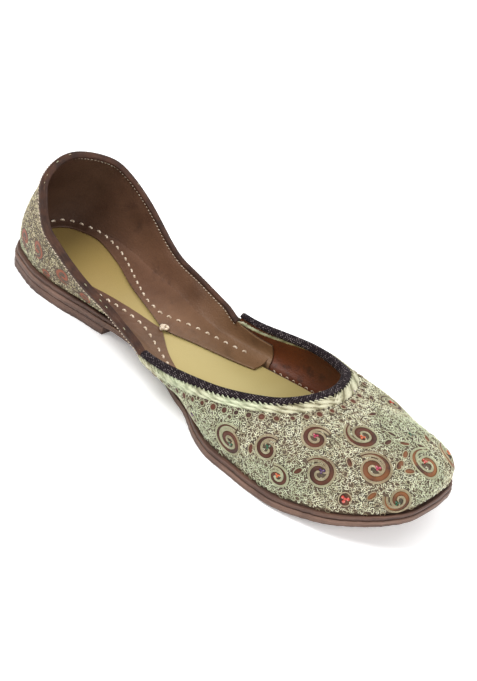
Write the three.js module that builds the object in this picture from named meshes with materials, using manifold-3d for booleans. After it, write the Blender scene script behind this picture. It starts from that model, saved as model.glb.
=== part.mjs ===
// Mojari: a flat embroidered leather slip-on for the right foot.
// Millimetres; X runs from heel to toe, Y to the medial side, Z up from the floor.
import * as THREE from 'three';
import { mergeVertices } from 'three/addons/utils/BufferGeometryUtils.js';
import Module from 'manifold-3d';

const wasm = await Module();
wasm.setup();

// ---- driving dimensions ----------------------------------------------------
const LENGTH = 257;            // heel to toe of the upper at the feather line
const GAP = 0.3;               // clearance between pieces that touch
const OUTSOLE_THICK = 3.0;
const MIDSOLE_THICK = 2.0;
const LIFT_THICK = 4.5;
const INSOLE_THICK = 1.5;
const FLANGE_THICK = 1.0;
const SOLE_WELT = 1.9;         // sole beyond the upper
const MIDSOLE_WELT = 1.5;
const LIFT_WELT = 1.4;
const LIFT_FRONT = 76;         // breast of the heel lift
const TOE_SPRING = 15;
const TREAD_START = 134;       // rear edge of the flat tread
const SPRING_START = 188;      // front edge of the flat tread
const VAMP_WALL = 1.9;
const QUARTER_WALL = 1.7;
const LAP_SINK = 0.6;          // how far the quarter's end sits into the vamp's wing
const WING_START = 118;        // rear edge of the vamp's wings
const QUARTER_END = 140;       // front edge of the quarter inside the wings
const BLEND_START = 108;       // where the quarter starts to draw in under the wing
const BINDING_THICK = 0.7;
const BINDING_DEPTH = 4.4;     // outer leg
const BINDING_INSIDE = 2.6;    // inner leg
const EDGE_STEP = 0.04;        // share of the wall used to take its direction at an edge
const INSOLE_INSET = 3.4;

const LATERAL = -1;
const MEDIAL = 1;

// Plan of the upper where it meets the sole.
const FEATHER = [
  { x: 0, lateral: 0, medial: 0 },
  { x: 14, lateral: 23, medial: 19.5 },
  { x: 35, lateral: 27.5, medial: 24.5 },
  { x: 67, lateral: 22.5, medial: 22 },
  { x: 102, lateral: 16.5, medial: 19.5 },
  { x: 137, lateral: 25, medial: 28.5 },
  { x: 172, lateral: 39, medial: 37 },
  { x: 202, lateral: 38.5, medial: 38.5 },
  { x: 227, lateral: 32, medial: 39.5 },
  { x: 245, lateral: 21, medial: 36.5 },
  { x: 253, lateral: 12, medial: 27 },
  { x: 257, lateral: 0, medial: 0 },
];

// Edge of the quarter round the heel; height is above the feather line.
const COLLAR = [
  { x: 11, lateral: 0, medial: 0, height: 48 },
  { x: 23, lateral: 26.5, medial: 24.5, height: 42.5 },
  { x: 42, lateral: 35.5, medial: 30.5, height: 30 },
  { x: 77, lateral: 33, medial: 27.8, height: 15.5 },
  { x: 112, lateral: 35.5, medial: 27.5, height: 13.6 },
  { x: 147, lateral: 36, medial: 28, height: 12 },
];

// Edge of the vamp round the throat.
const THROAT = [
  { x: 107, lateral: 38.5, medial: 27, height: 16 },
  { x: 118, lateral: 39.5, medial: 27.5, height: 17 },
  { x: 157, lateral: 36.5, medial: 29.5, height: 26 },
  { x: 184, lateral: 25, medial: 22.5, height: 32.5 },
  { x: 194.5, lateral: 0, medial: 0, height: 35 },
];

// Which point of the throat's edge each feather point is drawn up to.
const THROAT_MAP = [
  { x: 107, edge: 107 },
  { x: 120, edge: 120 },
  { x: 157, edge: 148 },
  { x: 207, edge: 176 },
  { x: 242, edge: 191 },
  { x: 257, edge: 194.5 },
];

// The same for the collar.
const COLLAR_MAP = [
  { x: 0, edge: 11 },
  { x: 20, edge: 27 },
  { x: 50, edge: 51 },
  { x: 147, edge: 147 },
];

// Slope of the wall, in degrees from flat outwards (90 is upright, more leans in),
// where it leaves the sole and where it reaches its edge, with the pull of each.
const QUARTER_SLOPE = [
  { x: 0, foot: 82, head: 116, footPull: 0.36, headPull: 0.34 },
  { x: 38, foot: 58, head: 84, footPull: 0.36, headPull: 0.33 },
  { x: 77, foot: 36, head: 62, footPull: 0.33, headPull: 0.33 },
  { x: 112, foot: 28, head: 64, footPull: 0.36, headPull: 0.33 },
  { x: 147, foot: 40, head: 70, footPull: 0.33, headPull: 0.33 },
];

const VAMP_SLOPE = [
  { x: 107, foot: 18, head: 80, footPull: 0.45, headPull: 0.33 },
  { x: 137, foot: 28, head: 100, footPull: 0.52, headPull: 0.33 },
  { x: 172, foot: 72, head: 140, footPull: 0.48, headPull: 0.4 },
  { x: 217, foot: 80, head: 158, footPull: 0.38, headPull: 0.4 },
  { x: 257, foot: 80, head: 166, footPull: 0.34, headPull: 0.4 },
];

// Seat flange: the free edge beside each point of the wall's foot. It rounds the bare heel seat,
// which leans to the outer side, meets the other side's edge at the waist, then runs out to the
// quarter's front end. Half-widths are from the centre line; a negative one lies past it.
const FLANGE = [
  { x: 0, inner: 7.5, lateral: 0, medial: 0 },
  { x: 2, inner: 8.2, lateral: 5.5, medial: 5.5 },
  { x: 9, inner: 13, lateral: 12, medial: 11.8 },
  { x: 25, inner: 26, lateral: 17, medial: 16.5 },
  { x: 43, inner: 44, lateral: 16.5, medial: 12.5 },
  { x: 65, inner: 66, lateral: 11, medial: 4 },
  { x: 84, inner: 93.5, lateral: 5.4, medial: -3.1 },
  { x: 88, inner: 97, lateral: 4.4, medial: -3.8 },
  { x: 91, inner: 99, lateral: 5.4, medial: -2.9 },
  { x: 111, inner: 113, lateral: 13.5, medial: 5.5 },
  { x: 138, inner: 139, lateral: 22, medial: 18.5 },
];
const FLANGE_FRONT = 138;

// ---- curves ----------------------------------------------------------------
// Monotone cubic through one column of a table.
function column(table, name, shape = (v) => v) {
  const xs = table.map((row) => row.x);
  const ys = table.map((row) => shape(row[name]));
  const n = xs.length;
  const step = xs.slice(1).map((x, i) => x - xs[i]);
  const rise = step.map((h, i) => (ys[i + 1] - ys[i]) / h);
  const slope = ys.map((_, i) => {
    if (i === 0) return rise[0];
    if (i === n - 1) return rise[n - 2];
    if (rise[i - 1] * rise[i] <= 0) return 0;
    return 2 * rise[i - 1] * rise[i] / (rise[i - 1] + rise[i]);
  });
  return (x) => {
    const c = Math.min(Math.max(x, xs[0]), xs[n - 1]);
    let i = 0;
    while (i < n - 2 && c > xs[i + 1]) i += 1;
    const s = (c - xs[i]) / step[i];
    const a = ys[i] + s * s * (3 - 2 * s) * (ys[i + 1] - ys[i]);
    return a + step[i] * s * (1 - s) * ((1 - s) * slope[i] - s * slope[i + 1]);
  };
}

// Half-widths are joined through their squares, which rounds the two ends.
function halfWidths(table) {
  const square = (v) => v * v;
  const lateral = column(table, 'lateral', square);
  const medial = column(table, 'medial', square);
  return (side, x) => Math.sqrt(Math.max(0, side === LATERAL ? lateral(x) : medial(x)));
}

const featherHalf = halfWidths(FEATHER);
const collarHalf = halfWidths(COLLAR);
const throatHalf = halfWidths(THROAT);
const collarHeight = column(COLLAR, 'height');
const throatHeight = column(THROAT, 'height');
const flangeX = column(FLANGE, 'inner');
const flangeLateral = column(FLANGE, 'lateral');
const flangeMedial = column(FLANGE, 'medial');

function smooth(a, b, x) {
  const s = Math.min(Math.max((x - a) / (b - a), 0), 1);
  return s * s * (3 - 2 * s);
}

// Rise of the sole's underside: heel lift, waist, flat tread, toe spring.
function lift(x) {
  const heel = (LIFT_THICK + GAP) * (1 - smooth(LIFT_FRONT, TREAD_START, x));
  const toe = Math.max(0, (x - SPRING_START) / (LENGTH - SPRING_START));
  return heel + TOE_SPRING * toe ** 2.2;
}

const MIDSOLE_BOTTOM = OUTSOLE_THICK + GAP;
const INSOLE_BOTTOM = MIDSOLE_BOTTOM + MIDSOLE_THICK + GAP;
const featherZ = (x) => INSOLE_BOTTOM + lift(x);

// Share 0..1 along the shoe to x, crowding the points at heel and toe.
const station = (share) => LENGTH * (1 - Math.cos(Math.PI * share)) / 2;

// Point on a plan outline, pushed out by a margin square to its edge.
function planPoint(half, side, x, from, to, margin) {
  const reach = 0.05;
  const ends = [Math.max(from, x - reach), Math.min(to, x + reach)];
  const run = ends[1] - ends[0];
  const slope = (half(side, ends[1]) - half(side, ends[0])) / run;
  const atHeel = x - from < reach;
  const atToe = to - x < reach;
  const out = new THREE.Vector2(-slope, 1).normalize();
  if (atHeel) out.set(-1, 0);
  if (atToe) out.set(1, 0);
  return {
    x: x + margin * out.x,
    y: side * (half(side, x) + margin * out.y),
    out: new THREE.Vector3(out.x, side * out.y, 0),
  };
}

// ---- the upper's surface -----------------------------------------------------
const slopes = (table) => Object.fromEntries(
  ['foot', 'head', 'footPull', 'headPull'].map((name) => [name, column(table, name)]));
const quarterSlope = slopes(QUARTER_SLOPE);
const vampSlope = slopes(VAMP_SLOPE);
const collarEdge = column(COLLAR_MAP, 'edge');
const throatEdge = column(THROAT_MAP, 'edge');

// A wall drawn from the feather line to an edge, as one cubic curve for each x.
function wall(side, x, t, edge) {
  const foot = planPoint(featherHalf, side, x, 0, LENGTH, 0);
  const a = new THREE.Vector3(foot.x, foot.y, featherZ(x));
  const headX = edge.map(x);
  const head = planPoint(edge.half, side, headX, edge.from, edge.to, 0);
  const d = new THREE.Vector3(head.x, head.y, featherZ(headX) + edge.height(headX));
  const chord = a.distanceTo(d);
  const footAngle = THREE.MathUtils.degToRad(edge.slope.foot(x));
  const headAngle = THREE.MathUtils.degToRad(edge.slope.head(x));
  const b = a.clone().addScaledVector(foot.out, Math.cos(footAngle) * chord * edge.slope.footPull(x));
  b.z += Math.sin(footAngle) * chord * edge.slope.footPull(x);
  const c = d.clone().addScaledVector(head.out, -Math.cos(headAngle) * chord * edge.slope.headPull(x));
  c.z -= Math.sin(headAngle) * chord * edge.slope.headPull(x);
  return new THREE.CubicBezierCurve3(a, b, c, d).getPoint(t);
}

const COLLAR_EDGE = {
  map: collarEdge, half: collarHalf, height: collarHeight, slope: quarterSlope,
  from: COLLAR[0].x, to: COLLAR[COLLAR.length - 1].x,
};
const THROAT_EDGE = {
  map: throatEdge, half: throatHalf, height: throatHeight, slope: vampSlope,
  from: THROAT[0].x, to: THROAT[THROAT.length - 1].x,
};

const vampSkin = (side, x, t) => wall(side, x, t, THROAT_EDGE);

// Outward normal of a surface of (side, x, t).
function normalOf(skin, side, x, t) {
  const dx = 0.4;
  const dt = 0.02;
  const x0 = Math.max(0.15, x - dx);
  const x1 = Math.min(LENGTH - 0.15, x + dx);
  const t0 = Math.max(0, t - dt);
  const t1 = Math.min(1, t + dt);
  const along = skin(side, x1, t).sub(skin(side, x0, t));
  const up = skin(side, x, t1).sub(skin(side, x, t0));
  if (x < 0.15) along.set(0, side, 0);
  if (x > LENGTH - 0.15) along.set(0, -side, 0);
  return along.cross(up).multiplyScalar(side === LATERAL ? 1 : -1).normalize();
}

function offset(skin, side, x, t, distance) {
  return skin(side, x, t).addScaledVector(normalOf(skin, side, x, t), distance);
}

// The quarter follows its own wall round the heel, then draws in under the wing.
function quarterSkin(side, x, t) {
  const own = wall(side, x, t, COLLAR_EDGE);
  const share = smooth(BLEND_START, WING_START, x);
  if (share === 0) return own;
  const reach = t * collarHeight(x) / throatHeight(throatEdge(x));
  const under = offset(vampSkin, side, x, reach, LAP_SINK - VAMP_WALL);
  return own.lerp(under, share);
}

// ---- meshes ------------------------------------------------------------------
function toGeometry(points, faces) {
  const flat = new Float32Array(points.length * 3);
  points.forEach((p, i) => p.toArray(flat, i * 3));
  const geometry = new THREE.BufferGeometry();
  geometry.setAttribute('position', new THREE.BufferAttribute(flat, 3));
  geometry.setIndex(faces.flat());
  return weld(geometry);
}

// Merges shared points and drops the faces that this closes up.
function weld(geometry) {
  const merged = mergeVertices(geometry, 1e-4);
  const old = merged.index.array;
  const kept = [];
  for (let i = 0; i < old.length; i += 3) {
    const [a, b, c] = [old[i], old[i + 1], old[i + 2]];
    if (a !== b && b !== c && c !== a) kept.push(a, b, c);
  }
  merged.setIndex(kept);
  return merged;
}

// Closed body between an outer and an inner grid of the same rows and columns.
function shell(outer, inner) {
  const rows = outer.length;
  const cols = outer[0].length;
  const points = [...outer.flat(), ...inner.flat()];
  const id = (layer, r, c) => layer * rows * cols + r * cols + c;
  const faces = [];
  const quad = (a, b, c, d) => faces.push([a, c, b], [a, d, c]);
  for (let r = 0; r < rows - 1; r += 1) {
    for (let c = 0; c < cols - 1; c += 1) {
      quad(id(0, r, c), id(0, r + 1, c), id(0, r + 1, c + 1), id(0, r, c + 1));
      quad(id(1, r, c), id(1, r, c + 1), id(1, r + 1, c + 1), id(1, r + 1, c));
    }
    quad(id(0, r, 0), id(1, r, 0), id(1, r + 1, 0), id(0, r + 1, 0));
    quad(id(0, r, cols - 1), id(0, r + 1, cols - 1), id(1, r + 1, cols - 1), id(1, r, cols - 1));
  }
  for (let c = 0; c < cols - 1; c += 1) {
    quad(id(0, 0, c), id(0, 0, c + 1), id(1, 0, c + 1), id(1, 0, c));
    quad(id(0, rows - 1, c), id(1, rows - 1, c), id(1, rows - 1, c + 1), id(0, rows - 1, c + 1));
  }
  return toGeometry(points, faces);
}

// A tube of a closed section, capped at both ends.
function sweep(sections) {
  const m = sections[0].length;
  const points = sections.flat();
  const count = sections.length;
  const faces = [];
  for (let i = 0; i < count - 1; i += 1) {
    const j = i + 1;
    for (let k = 0; k < m; k += 1) {
      const l = (k + 1) % m;
      faces.push([i * m + k, i * m + l, j * m + l], [i * m + k, j * m + l, j * m + k]);
    }
  }
  const end = (count - 1) * m;
  THREE.ShapeUtils.triangulateShape(flatten(sections[0]), [])
    .forEach(([a, b, c]) => faces.push([c, b, a]));
  THREE.ShapeUtils.triangulateShape(flatten(sections[count - 1]), [])
    .forEach(([a, b, c]) => faces.push([end + a, end + b, end + c]));
  return toGeometry(points, faces);
}

// A section's points laid flat in its own plane, for capping it.
function flatten(section) {
  const origin = section[0];
  const u = section[1].clone().sub(origin).normalize();
  const side = section[section.length - 1].clone().sub(origin);
  const v = side.addScaledVector(u, -side.dot(u)).normalize();
  return section.map((p) => {
    const d = p.clone().sub(origin);
    return new THREE.Vector2(d.dot(u), d.dot(v));
  });
}

function toSolid(geometry) {
  return new wasm.Manifold(new wasm.Mesh({
    numProp: 3,
    vertProperties: geometry.attributes.position.array,
    triVerts: new Uint32Array(geometry.index.array),
  }));
}

function fromSolid(solid) {
  const mesh = solid.getMesh();
  const geometry = new THREE.BufferGeometry();
  geometry.setAttribute('position', new THREE.BufferAttribute(mesh.vertProperties, 3));
  geometry.setIndex(new THREE.BufferAttribute(mesh.triVerts, 1));
  return geometry;
}

// Shares of the way round from one side's end, past heel or toe, to the other side's end.
function stationsBetween(from, to, count) {
  const a = Math.acos(1 - 2 * from / LENGTH) / Math.PI;
  const b = Math.acos(1 - 2 * to / LENGTH) / Math.PI;
  return Array.from({ length: count + 1 }, (_, i) => station(a + (b - a) * i / count));
}

// Runs of (side, x) that pass round the heel or the toe, lateral side first.
function round(stations) {
  const lateral = stations.map((x) => ({ side: LATERAL, x }));
  const medial = stations.slice(0, -1).reverse().map((x) => ({ side: MEDIAL, x }));
  return [...lateral, ...medial];
}

// ---- pieces ------------------------------------------------------------------
function wallShell(skin, run, wallThick, levels) {
  const shares = Array.from({ length: levels + 1 }, (_, i) => i / levels);
  const outer = shares.map((t) => run.map(({ side, x }) => skin(side, x, t)));
  const inner = shares.map((t) => run.map(({ side, x }) => {
    const point = offset(skin, side, x, t, -wallThick);
    if (t === 0) point.z = featherZ(x);
    return point;
  }));
  return shell(outer, inner);
}

const vampRun = round(stationsBetween(WING_START, LENGTH, 28));
const collarStations = stationsBetween(WING_START - 1, 0, 22);
const lapStations = stationsBetween(QUARTER_END, WING_START - 1, 5).slice(0, -1);
const quarterRun = round([...lapStations, ...collarStations]).reverse();
const collarRun = round(collarStations).reverse();

function upperGeometry() {
  const vamp = toSolid(wallShell(vampSkin, vampRun, VAMP_WALL, 13));
  const quarter = toSolid(wallShell(quarterSkin, quarterRun, QUARTER_WALL, 8));
  return fromSolid(vamp.add(quarter));
}

// Flat-laid layer that follows the sole's rise, cut to the upper's plan plus a margin.
function layerGeometry({ bottom, thick, margin, from = 0, to = LENGTH, count = 44 }) {
  const sections = stationsBetween(from, to, count).map((x) => {
    const right = planPoint(featherHalf, LATERAL, x, 0, LENGTH, margin);
    const left = planPoint(featherHalf, MEDIAL, x, 0, LENGTH, margin);
    const corners = [[right, 0], [left, 0], [left, thick], [right, thick]];
    return corners.map(([p, dz]) => new THREE.Vector3(p.x, p.y, bottom + lift(x) + dz));
  });
  return sweep(sections);
}

// Lining turned in over the insole: from the wall's foot to the teardrop of bare insole.
function flangeGeometry() {
  const bottom = INSOLE_BOTTOM + INSOLE_THICK + GAP;
  const run = round(stationsBetween(FLANGE_FRONT, 0, 34));
  const sections = run.map(({ side, x }) => {
    const outside = planPoint(featherHalf, side, x, 0, LENGTH, -INSOLE_INSET);
    const half = side === LATERAL ? flangeLateral(x) : flangeMedial(x);
    const inside = { x: flangeX(x), y: side * half };
    const corners = [[outside, 0], [outside, FLANGE_THICK], [inside, FLANGE_THICK], [inside, 0]];
    return corners.map(([p, dz]) => new THREE.Vector3(p.x, p.y, bottom + lift(p.x) + dz));
  });
  return sweep(sections);
}

// Channel folded over an edge of the upper: one leg outside, one inside, both following the wall.
function bindingGeometry(skin, run, wallThick) {
  const outside = GAP;
  const inside = -wallThick - GAP;
  const sections = run.map(({ side, x }) => {
    const edge = skin(side, x, 1);
    const speed = edge.distanceTo(skin(side, x, 1 - EDGE_STEP)) / EDGE_STEP;
    const legFoot = 1 - BINDING_DEPTH / speed;
    const legWaist = 1 - 0.5 * BINDING_DEPTH / speed;
    const insideFoot = 1 - BINDING_INSIDE / speed;
    const up = edge.clone().sub(skin(side, x, 1 - EDGE_STEP)).normalize();
    const at = (t, out, rise = 0) => offset(skin, side, x, t, out).addScaledVector(up, rise);
    return [
      at(legFoot, outside + BINDING_THICK), at(legFoot, outside), at(legWaist, outside),
      at(1, outside, GAP), at(1, inside, GAP), at(insideFoot, inside), at(insideFoot, inside - BINDING_THICK),
      at(1, inside - BINDING_THICK, GAP + BINDING_THICK), at(1, outside + BINDING_THICK, GAP + BINDING_THICK),
      at(legWaist, outside + BINDING_THICK),
    ];
  });
  return sweep(sections);
}

// ---- assembly ----------------------------------------------------------------
function piece(name, geometry, color, roughness) {
  const mesh = new THREE.Mesh(geometry, new THREE.MeshStandardMaterial({ color, roughness, metalness: 0 }));
  mesh.name = name;
  return mesh;
}

const shoe = new THREE.Group();
shoe.add(
  piece('heel_lift', layerGeometry({
    bottom: -LIFT_THICK - GAP, thick: LIFT_THICK, margin: LIFT_WELT, to: LIFT_FRONT, count: 20,
  }), 0x4a3128, 0.7),
  piece('outsole', layerGeometry({ bottom: 0, thick: OUTSOLE_THICK, margin: SOLE_WELT }), 0x6b463a, 0.7),
  piece('midsole', layerGeometry({
    bottom: MIDSOLE_BOTTOM, thick: MIDSOLE_THICK, margin: MIDSOLE_WELT,
  }), 0x7d5243, 0.7),
  piece('insole', layerGeometry({
    bottom: INSOLE_BOTTOM, thick: INSOLE_THICK, margin: -INSOLE_INSET,
  }), 0xb99b5a, 0.5),
  piece('upper', upperGeometry(), 0xb4aa82, 0.6),
  piece('seat_flange', flangeGeometry(), 0x6e4a3a, 0.6),
  piece('throat_binding', bindingGeometry(vampSkin, vampRun, VAMP_WALL), 0x463238, 0.9),
  piece('collar_binding', bindingGeometry(quarterSkin, collarRun, QUARTER_WALL), 0x5f3732, 0.6),
);

// The origin sits under the middle of the shoe, on the floor.
const box = new THREE.Box3().setFromObject(shoe);
const middle = box.getCenter(new THREE.Vector3());
const root = new THREE.Group();
shoe.position.set(-middle.x, -middle.y, -box.min.z);
root.add(shoe);

export default root;
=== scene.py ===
import math

import bpy
import numpy as np
from mathutils import Matrix, Vector
from mathutils.bvhtree import BVHTree


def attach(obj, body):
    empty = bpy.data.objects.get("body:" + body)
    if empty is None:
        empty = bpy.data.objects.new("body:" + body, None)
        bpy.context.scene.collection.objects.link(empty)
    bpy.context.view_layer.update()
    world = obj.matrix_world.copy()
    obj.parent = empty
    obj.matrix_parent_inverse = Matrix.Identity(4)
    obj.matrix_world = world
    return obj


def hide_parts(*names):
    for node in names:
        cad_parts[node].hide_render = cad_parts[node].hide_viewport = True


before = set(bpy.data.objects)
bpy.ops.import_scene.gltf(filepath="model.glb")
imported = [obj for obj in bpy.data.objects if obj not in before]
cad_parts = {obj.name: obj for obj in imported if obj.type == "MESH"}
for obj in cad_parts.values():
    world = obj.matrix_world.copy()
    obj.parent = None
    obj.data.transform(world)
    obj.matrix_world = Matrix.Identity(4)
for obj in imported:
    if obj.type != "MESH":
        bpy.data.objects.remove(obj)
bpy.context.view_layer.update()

# ---- the studio --------------------------------------------------------------------------
# A pale floor that the shoe stands on, broad soft lights, and a long lens that looks
# down on the shoe from in front of its outer side.
VIEW_AIM = Vector((0.0007, 0.0145, 0.020))
VIEW_DISTANCE = 0.899
VIEW_TURN, VIEW_DOWN, VIEW_ROLL = math.radians(36.4), math.radians(33.95), math.radians(15.8)
LENS = 100.75
scene = bpy.context.scene
scene.view_settings.view_transform = "Standard"


def dye(red, green, blue):
    """A colour given in screen values, as the linear one that a shader takes."""
    linear = [c / 12.92 if c <= 0.04045 else ((c + 0.055) / 1.055) ** 2.4
              for c in (red / 255, green / 255, blue / 255)]
    return (*linear, 1.0)


def put(name, data):
    """A new object in the scene."""
    made = bpy.data.objects.new(name, data)
    scene.collection.objects.link(made)
    return made


def together(*values):
    """Numbers and arrays as arrays of floats, all of one shape."""
    return np.broadcast_arrays(*(np.asarray(value, float) for value in values))


def unit(vectors):
    return vectors / np.linalg.norm(vectors, axis=-1, keepdims=True)


def walked(line):
    """Distance along a line of points, from its first."""
    return np.concatenate([[0], np.cumsum(np.linalg.norm(np.diff(line, axis=0), axis=1))])


class Value:
    """A socket of a node tree that takes part in sums as a number does."""

    def __init__(self, graph, socket):
        self.graph = graph
        self.socket = socket

    def other(self, name):
        outputs = self.socket.node.outputs
        return Value(self.graph, next(s for s in outputs if name in (s.identifier, s.name)))

    def maths(self, operation, first, second):
        values = {"Value": first, "Value_001": second}
        return self.graph.add("ShaderNodeMath", {"operation": operation}, values)

    def __add__(self, other):
        return self.maths("ADD", self, other)

    __radd__ = __add__

    def __mul__(self, other):
        return self.maths("MULTIPLY", self, other)

    __rmul__ = __mul__


class Graph:
    """A node tree being laid out, for a finish or for a repeat."""

    def __init__(self, tree):
        self.tree = tree

    def add(self, kind, settings=None, inputs=None):
        node = self.tree.nodes.new(kind)
        for key, value in (settings or {}).items():
            if key == "stops":
                for _ in range(len(value) - 2):
                    node.color_ramp.elements.new(0.5)
                for element, (place, colour) in zip(node.color_ramp.elements, value):
                    element.position = place
                    element.color = colour
            else:
                setattr(node, key, value)
        for key, value in (inputs or {}).items():
            socket = next(s for s in node.inputs if s.enabled and key in (s.identifier, s.name))
            for one in value if isinstance(value, list) else [value]:
                if isinstance(one, Value):
                    self.tree.links.new(one.socket, socket)
                else:
                    socket.default_value = one
        outputs = [s for s in node.outputs if s.enabled]
        return Value(self, outputs[0]) if outputs else None


class Finish(Graph):
    """A material's tree, with the mixes that leather and thread call for."""

    def __init__(self, name):
        self.material = bpy.data.materials.new(name)
        self.material.use_nodes = True
        super().__init__(self.material.node_tree)
        self.tree.nodes.clear()
        self.here = self.add("ShaderNodeTexCoord").other("Object")

    def attribute(self, name):
        return self.add("ShaderNodeAttribute", {"attribute_name": name}).other("Fac")

    def lay(self):
        """Place in the piece's own pattern."""
        return self.add("ShaderNodeUVMap", {"uv_map": "lay"})

    def lengthways(self):
        """Place from heel to toe, in the frame's metres."""
        return self.add("ShaderNodeSeparateXYZ", None, {"Vector": self.here})

    def waves(self, where, scale, twist, detail, ripple=1, bands="X"):
        inputs = {"Vector": where, "Scale": scale, "Distortion": twist,
                  "Detail": detail, "Detail Scale": ripple}
        return self.add("ShaderNodeTexWave", {"bands_direction": bands}, inputs)

    def stretched(self, scale, turn=(0, 0, 0), source=None):
        inputs = {"Vector": source or self.here, "Scale": scale, "Rotation": turn}
        return self.add("ShaderNodeMapping", None, inputs)

    def noise(self, scale, detail=3, rough=0.55, twist=0, where=None):
        inputs = {"Vector": where or self.here, "Scale": scale, "Detail": detail,
                  "Roughness": rough, "Distortion": twist}
        return self.add("ShaderNodeTexNoise", None, inputs)

    def cells(self, scale, feature="F1", where=None):
        return self.add("ShaderNodeTexVoronoi", {"feature": feature},
                        {"Vector": where or self.here, "Scale": scale})

    def ramp(self, value, *stops):
        return self.add("ShaderNodeValToRGB", {"stops": stops}, {"Fac": value})

    def fade(self, value, low, high, to_low=0, to_high=1):
        inputs = {"Value": value, "From Min": low, "From Max": high, "To Min": to_low, "To Max": to_high}
        return self.add("ShaderNodeMapRange", {"interpolation_type": "SMOOTHSTEP"}, inputs)

    def mix(self, share, first, second, blend="MIX"):
        return self.add("ShaderNodeMix", {"data_type": "RGBA", "blend_type": blend},
                        {"Factor_Float": share, "A_Color": first, "B_Color": second})

    def bump(self, height, depth, strength):
        return self.add("ShaderNodeBump", None, {"Height": height, "Distance": depth, "Strength": strength})

    def done(self, colour, rough, normal=None, **constants):
        inputs = {"Base Color": colour, "Roughness": rough}
        inputs.update({name.replace("_", " "): value for name, value in constants.items()})
        if normal:
            inputs["Normal"] = normal
        surface = self.add("ShaderNodeBsdfPrincipled", None, inputs)
        self.add("ShaderNodeOutputMaterial", None, {"Surface": surface})
        return self.material


def floor_paper():
    finish = Finish("floor_paper")
    cloudy = finish.noise(9, 2)
    colour = finish.ramp(cloudy, (0.3, dye(248, 248, 248)), (0.7, dye(251, 251, 251)))
    return finish.done(colour, finish.fade(cloudy, 0.3, 0.7, 0.85, 0.9), Specular_IOR_Level=0.2,
                       Emission_Color=(1, 1, 1, 1), Emission_Strength=0.22)


floor_mesh = bpy.data.meshes.new("floor")
FLOOR_HALF = 3.0
floor_mesh.from_pydata([(x, y, 0) for x, y in ((-1, -1), (1, -1), (1, 1), (-1, 1))], [], [(0, 1, 2, 3)])
floor_mesh.transform(Matrix.Scale(FLOOR_HALF, 4))
floor_mesh.materials.append(floor_paper())
put("floor", floor_mesh)


def soft_light(name, place, size, power, aim=(0, 0, 0.02)):
    lamp = bpy.data.lights.new(name, "AREA")
    lamp.shape = "DISK"
    lamp.size = size
    lamp.energy = power
    light = put(name, lamp)
    light.location = place
    light.rotation_euler = (Vector(place) - Vector(aim)).to_track_quat("Z", "Y").to_euler()


soft_light("key_light", (-0.35, -0.55, 1.05), 0.55, 9.5)
soft_light("front_light", (0.95, -0.35, 0.65), 0.7, 5.5)
soft_light("back_light", (0.1, 0.95, 0.8), 0.8, 5.0)
world = bpy.data.worlds.new("studio")
world.use_nodes = True
world.node_tree.nodes["Background"].inputs["Color"].default_value = (1, 1, 1, 1)
world.node_tree.nodes["Background"].inputs["Strength"].default_value = 0.62
scene.world = world

lens = bpy.data.cameras.new("camera")
lens.lens = LENS
lens.sensor_width = 36
camera = put("camera", lens)
view_turn = (Matrix.Rotation(VIEW_TURN, 4, "Z")
             @ Matrix.Rotation(math.pi / 2 - VIEW_DOWN, 4, "X")
             @ Matrix.Rotation(VIEW_ROLL, 4, "Z"))
camera.matrix_world = (Matrix.Translation(VIEW_AIM) @ view_turn
                       @ Matrix.Translation((0, 0, VIEW_DISTANCE)))
scene.camera = camera

# ---- outsole, midsole and heel lift ------------------------------------------------------
# Three cuts of sole leather, stacked and pasted, then trimmed and burnished together at
# the edge: an outsole, a thinner midsole under the upper, and one lift under the heel.
LENGTH = 257.0                 # millimetres, heel to toe at the upper's foot
GAP = 0.3
OUTSOLE_THICK, MIDSOLE_THICK, LIFT_THICK = 3.0, 2.0, 4.5
SOLE_WELT, MIDSOLE_WELT, LIFT_WELT = 1.9, 1.5, 1.4
LIFT_FRONT, TREAD_START, SPRING_START, TOE_SPRING = 76.0, 134.0, 188.0, 15.0
MIDSOLE_BOTTOM = OUTSOLE_THICK + GAP
INSOLE_BOTTOM = MIDSOLE_BOTTOM + MIDSOLE_THICK + GAP
LATERAL, MEDIAL = -1.0, 1.0


def table(columns, *rows):
    """Rows of a table, each told by the names of its columns."""
    return [dict(zip(columns.split(), row, strict=True)) for row in rows]


# Plan of the upper's foot: x, half-width on the outer and on the inner side.
FEATHER = table("x lateral medial",
    (0, 0, 0), (14, 23, 19.5), (35, 27.5, 24.5), (67, 22.5, 22), (102, 16.5, 19.5), (137, 25, 28.5),
    (172, 39, 37), (202, 38.5, 38.5), (227, 32, 39.5), (245, 21, 36.5), (253, 12, 27), (257, 0, 0))


def column(table, name, power=1):
    """Monotone cubic through one column of a table, or through a power of it."""
    xs = np.array([row["x"] for row in table], float)
    ys = np.array([row[name] for row in table], float) ** power
    step = np.diff(xs)
    rise = np.diff(ys) / step
    product, total = rise[:-1] * rise[1:], rise[:-1] + rise[1:]
    inner = np.where(product > 0, 2 * product / np.where(total == 0, 1, total), 0)
    slope = np.concatenate([rise[:1], inner, rise[-1:]])

    def at(x):
        x = np.clip(x, xs[0], xs[-1])
        i = np.clip(np.searchsorted(xs, x, side="left") - 1, 0, len(xs) - 2)
        s = (x - xs[i]) / step[i]
        base = ys[i] + s * s * (3 - 2 * s) * (ys[i + 1] - ys[i])
        return base + step[i] * s * (1 - s) * ((1 - s) * slope[i] - s * slope[i + 1])

    return at


def half_widths(table):
    lateral, medial = column(table, "lateral", 2), column(table, "medial", 2)
    return lambda side, x: np.sqrt(np.maximum(0, np.where(side < 0, lateral(x), medial(x))))


def smooth(low, high, x):
    s = np.clip((x - low) / (high - low), 0, 1)
    return s * s * (3 - 2 * s)


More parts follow.
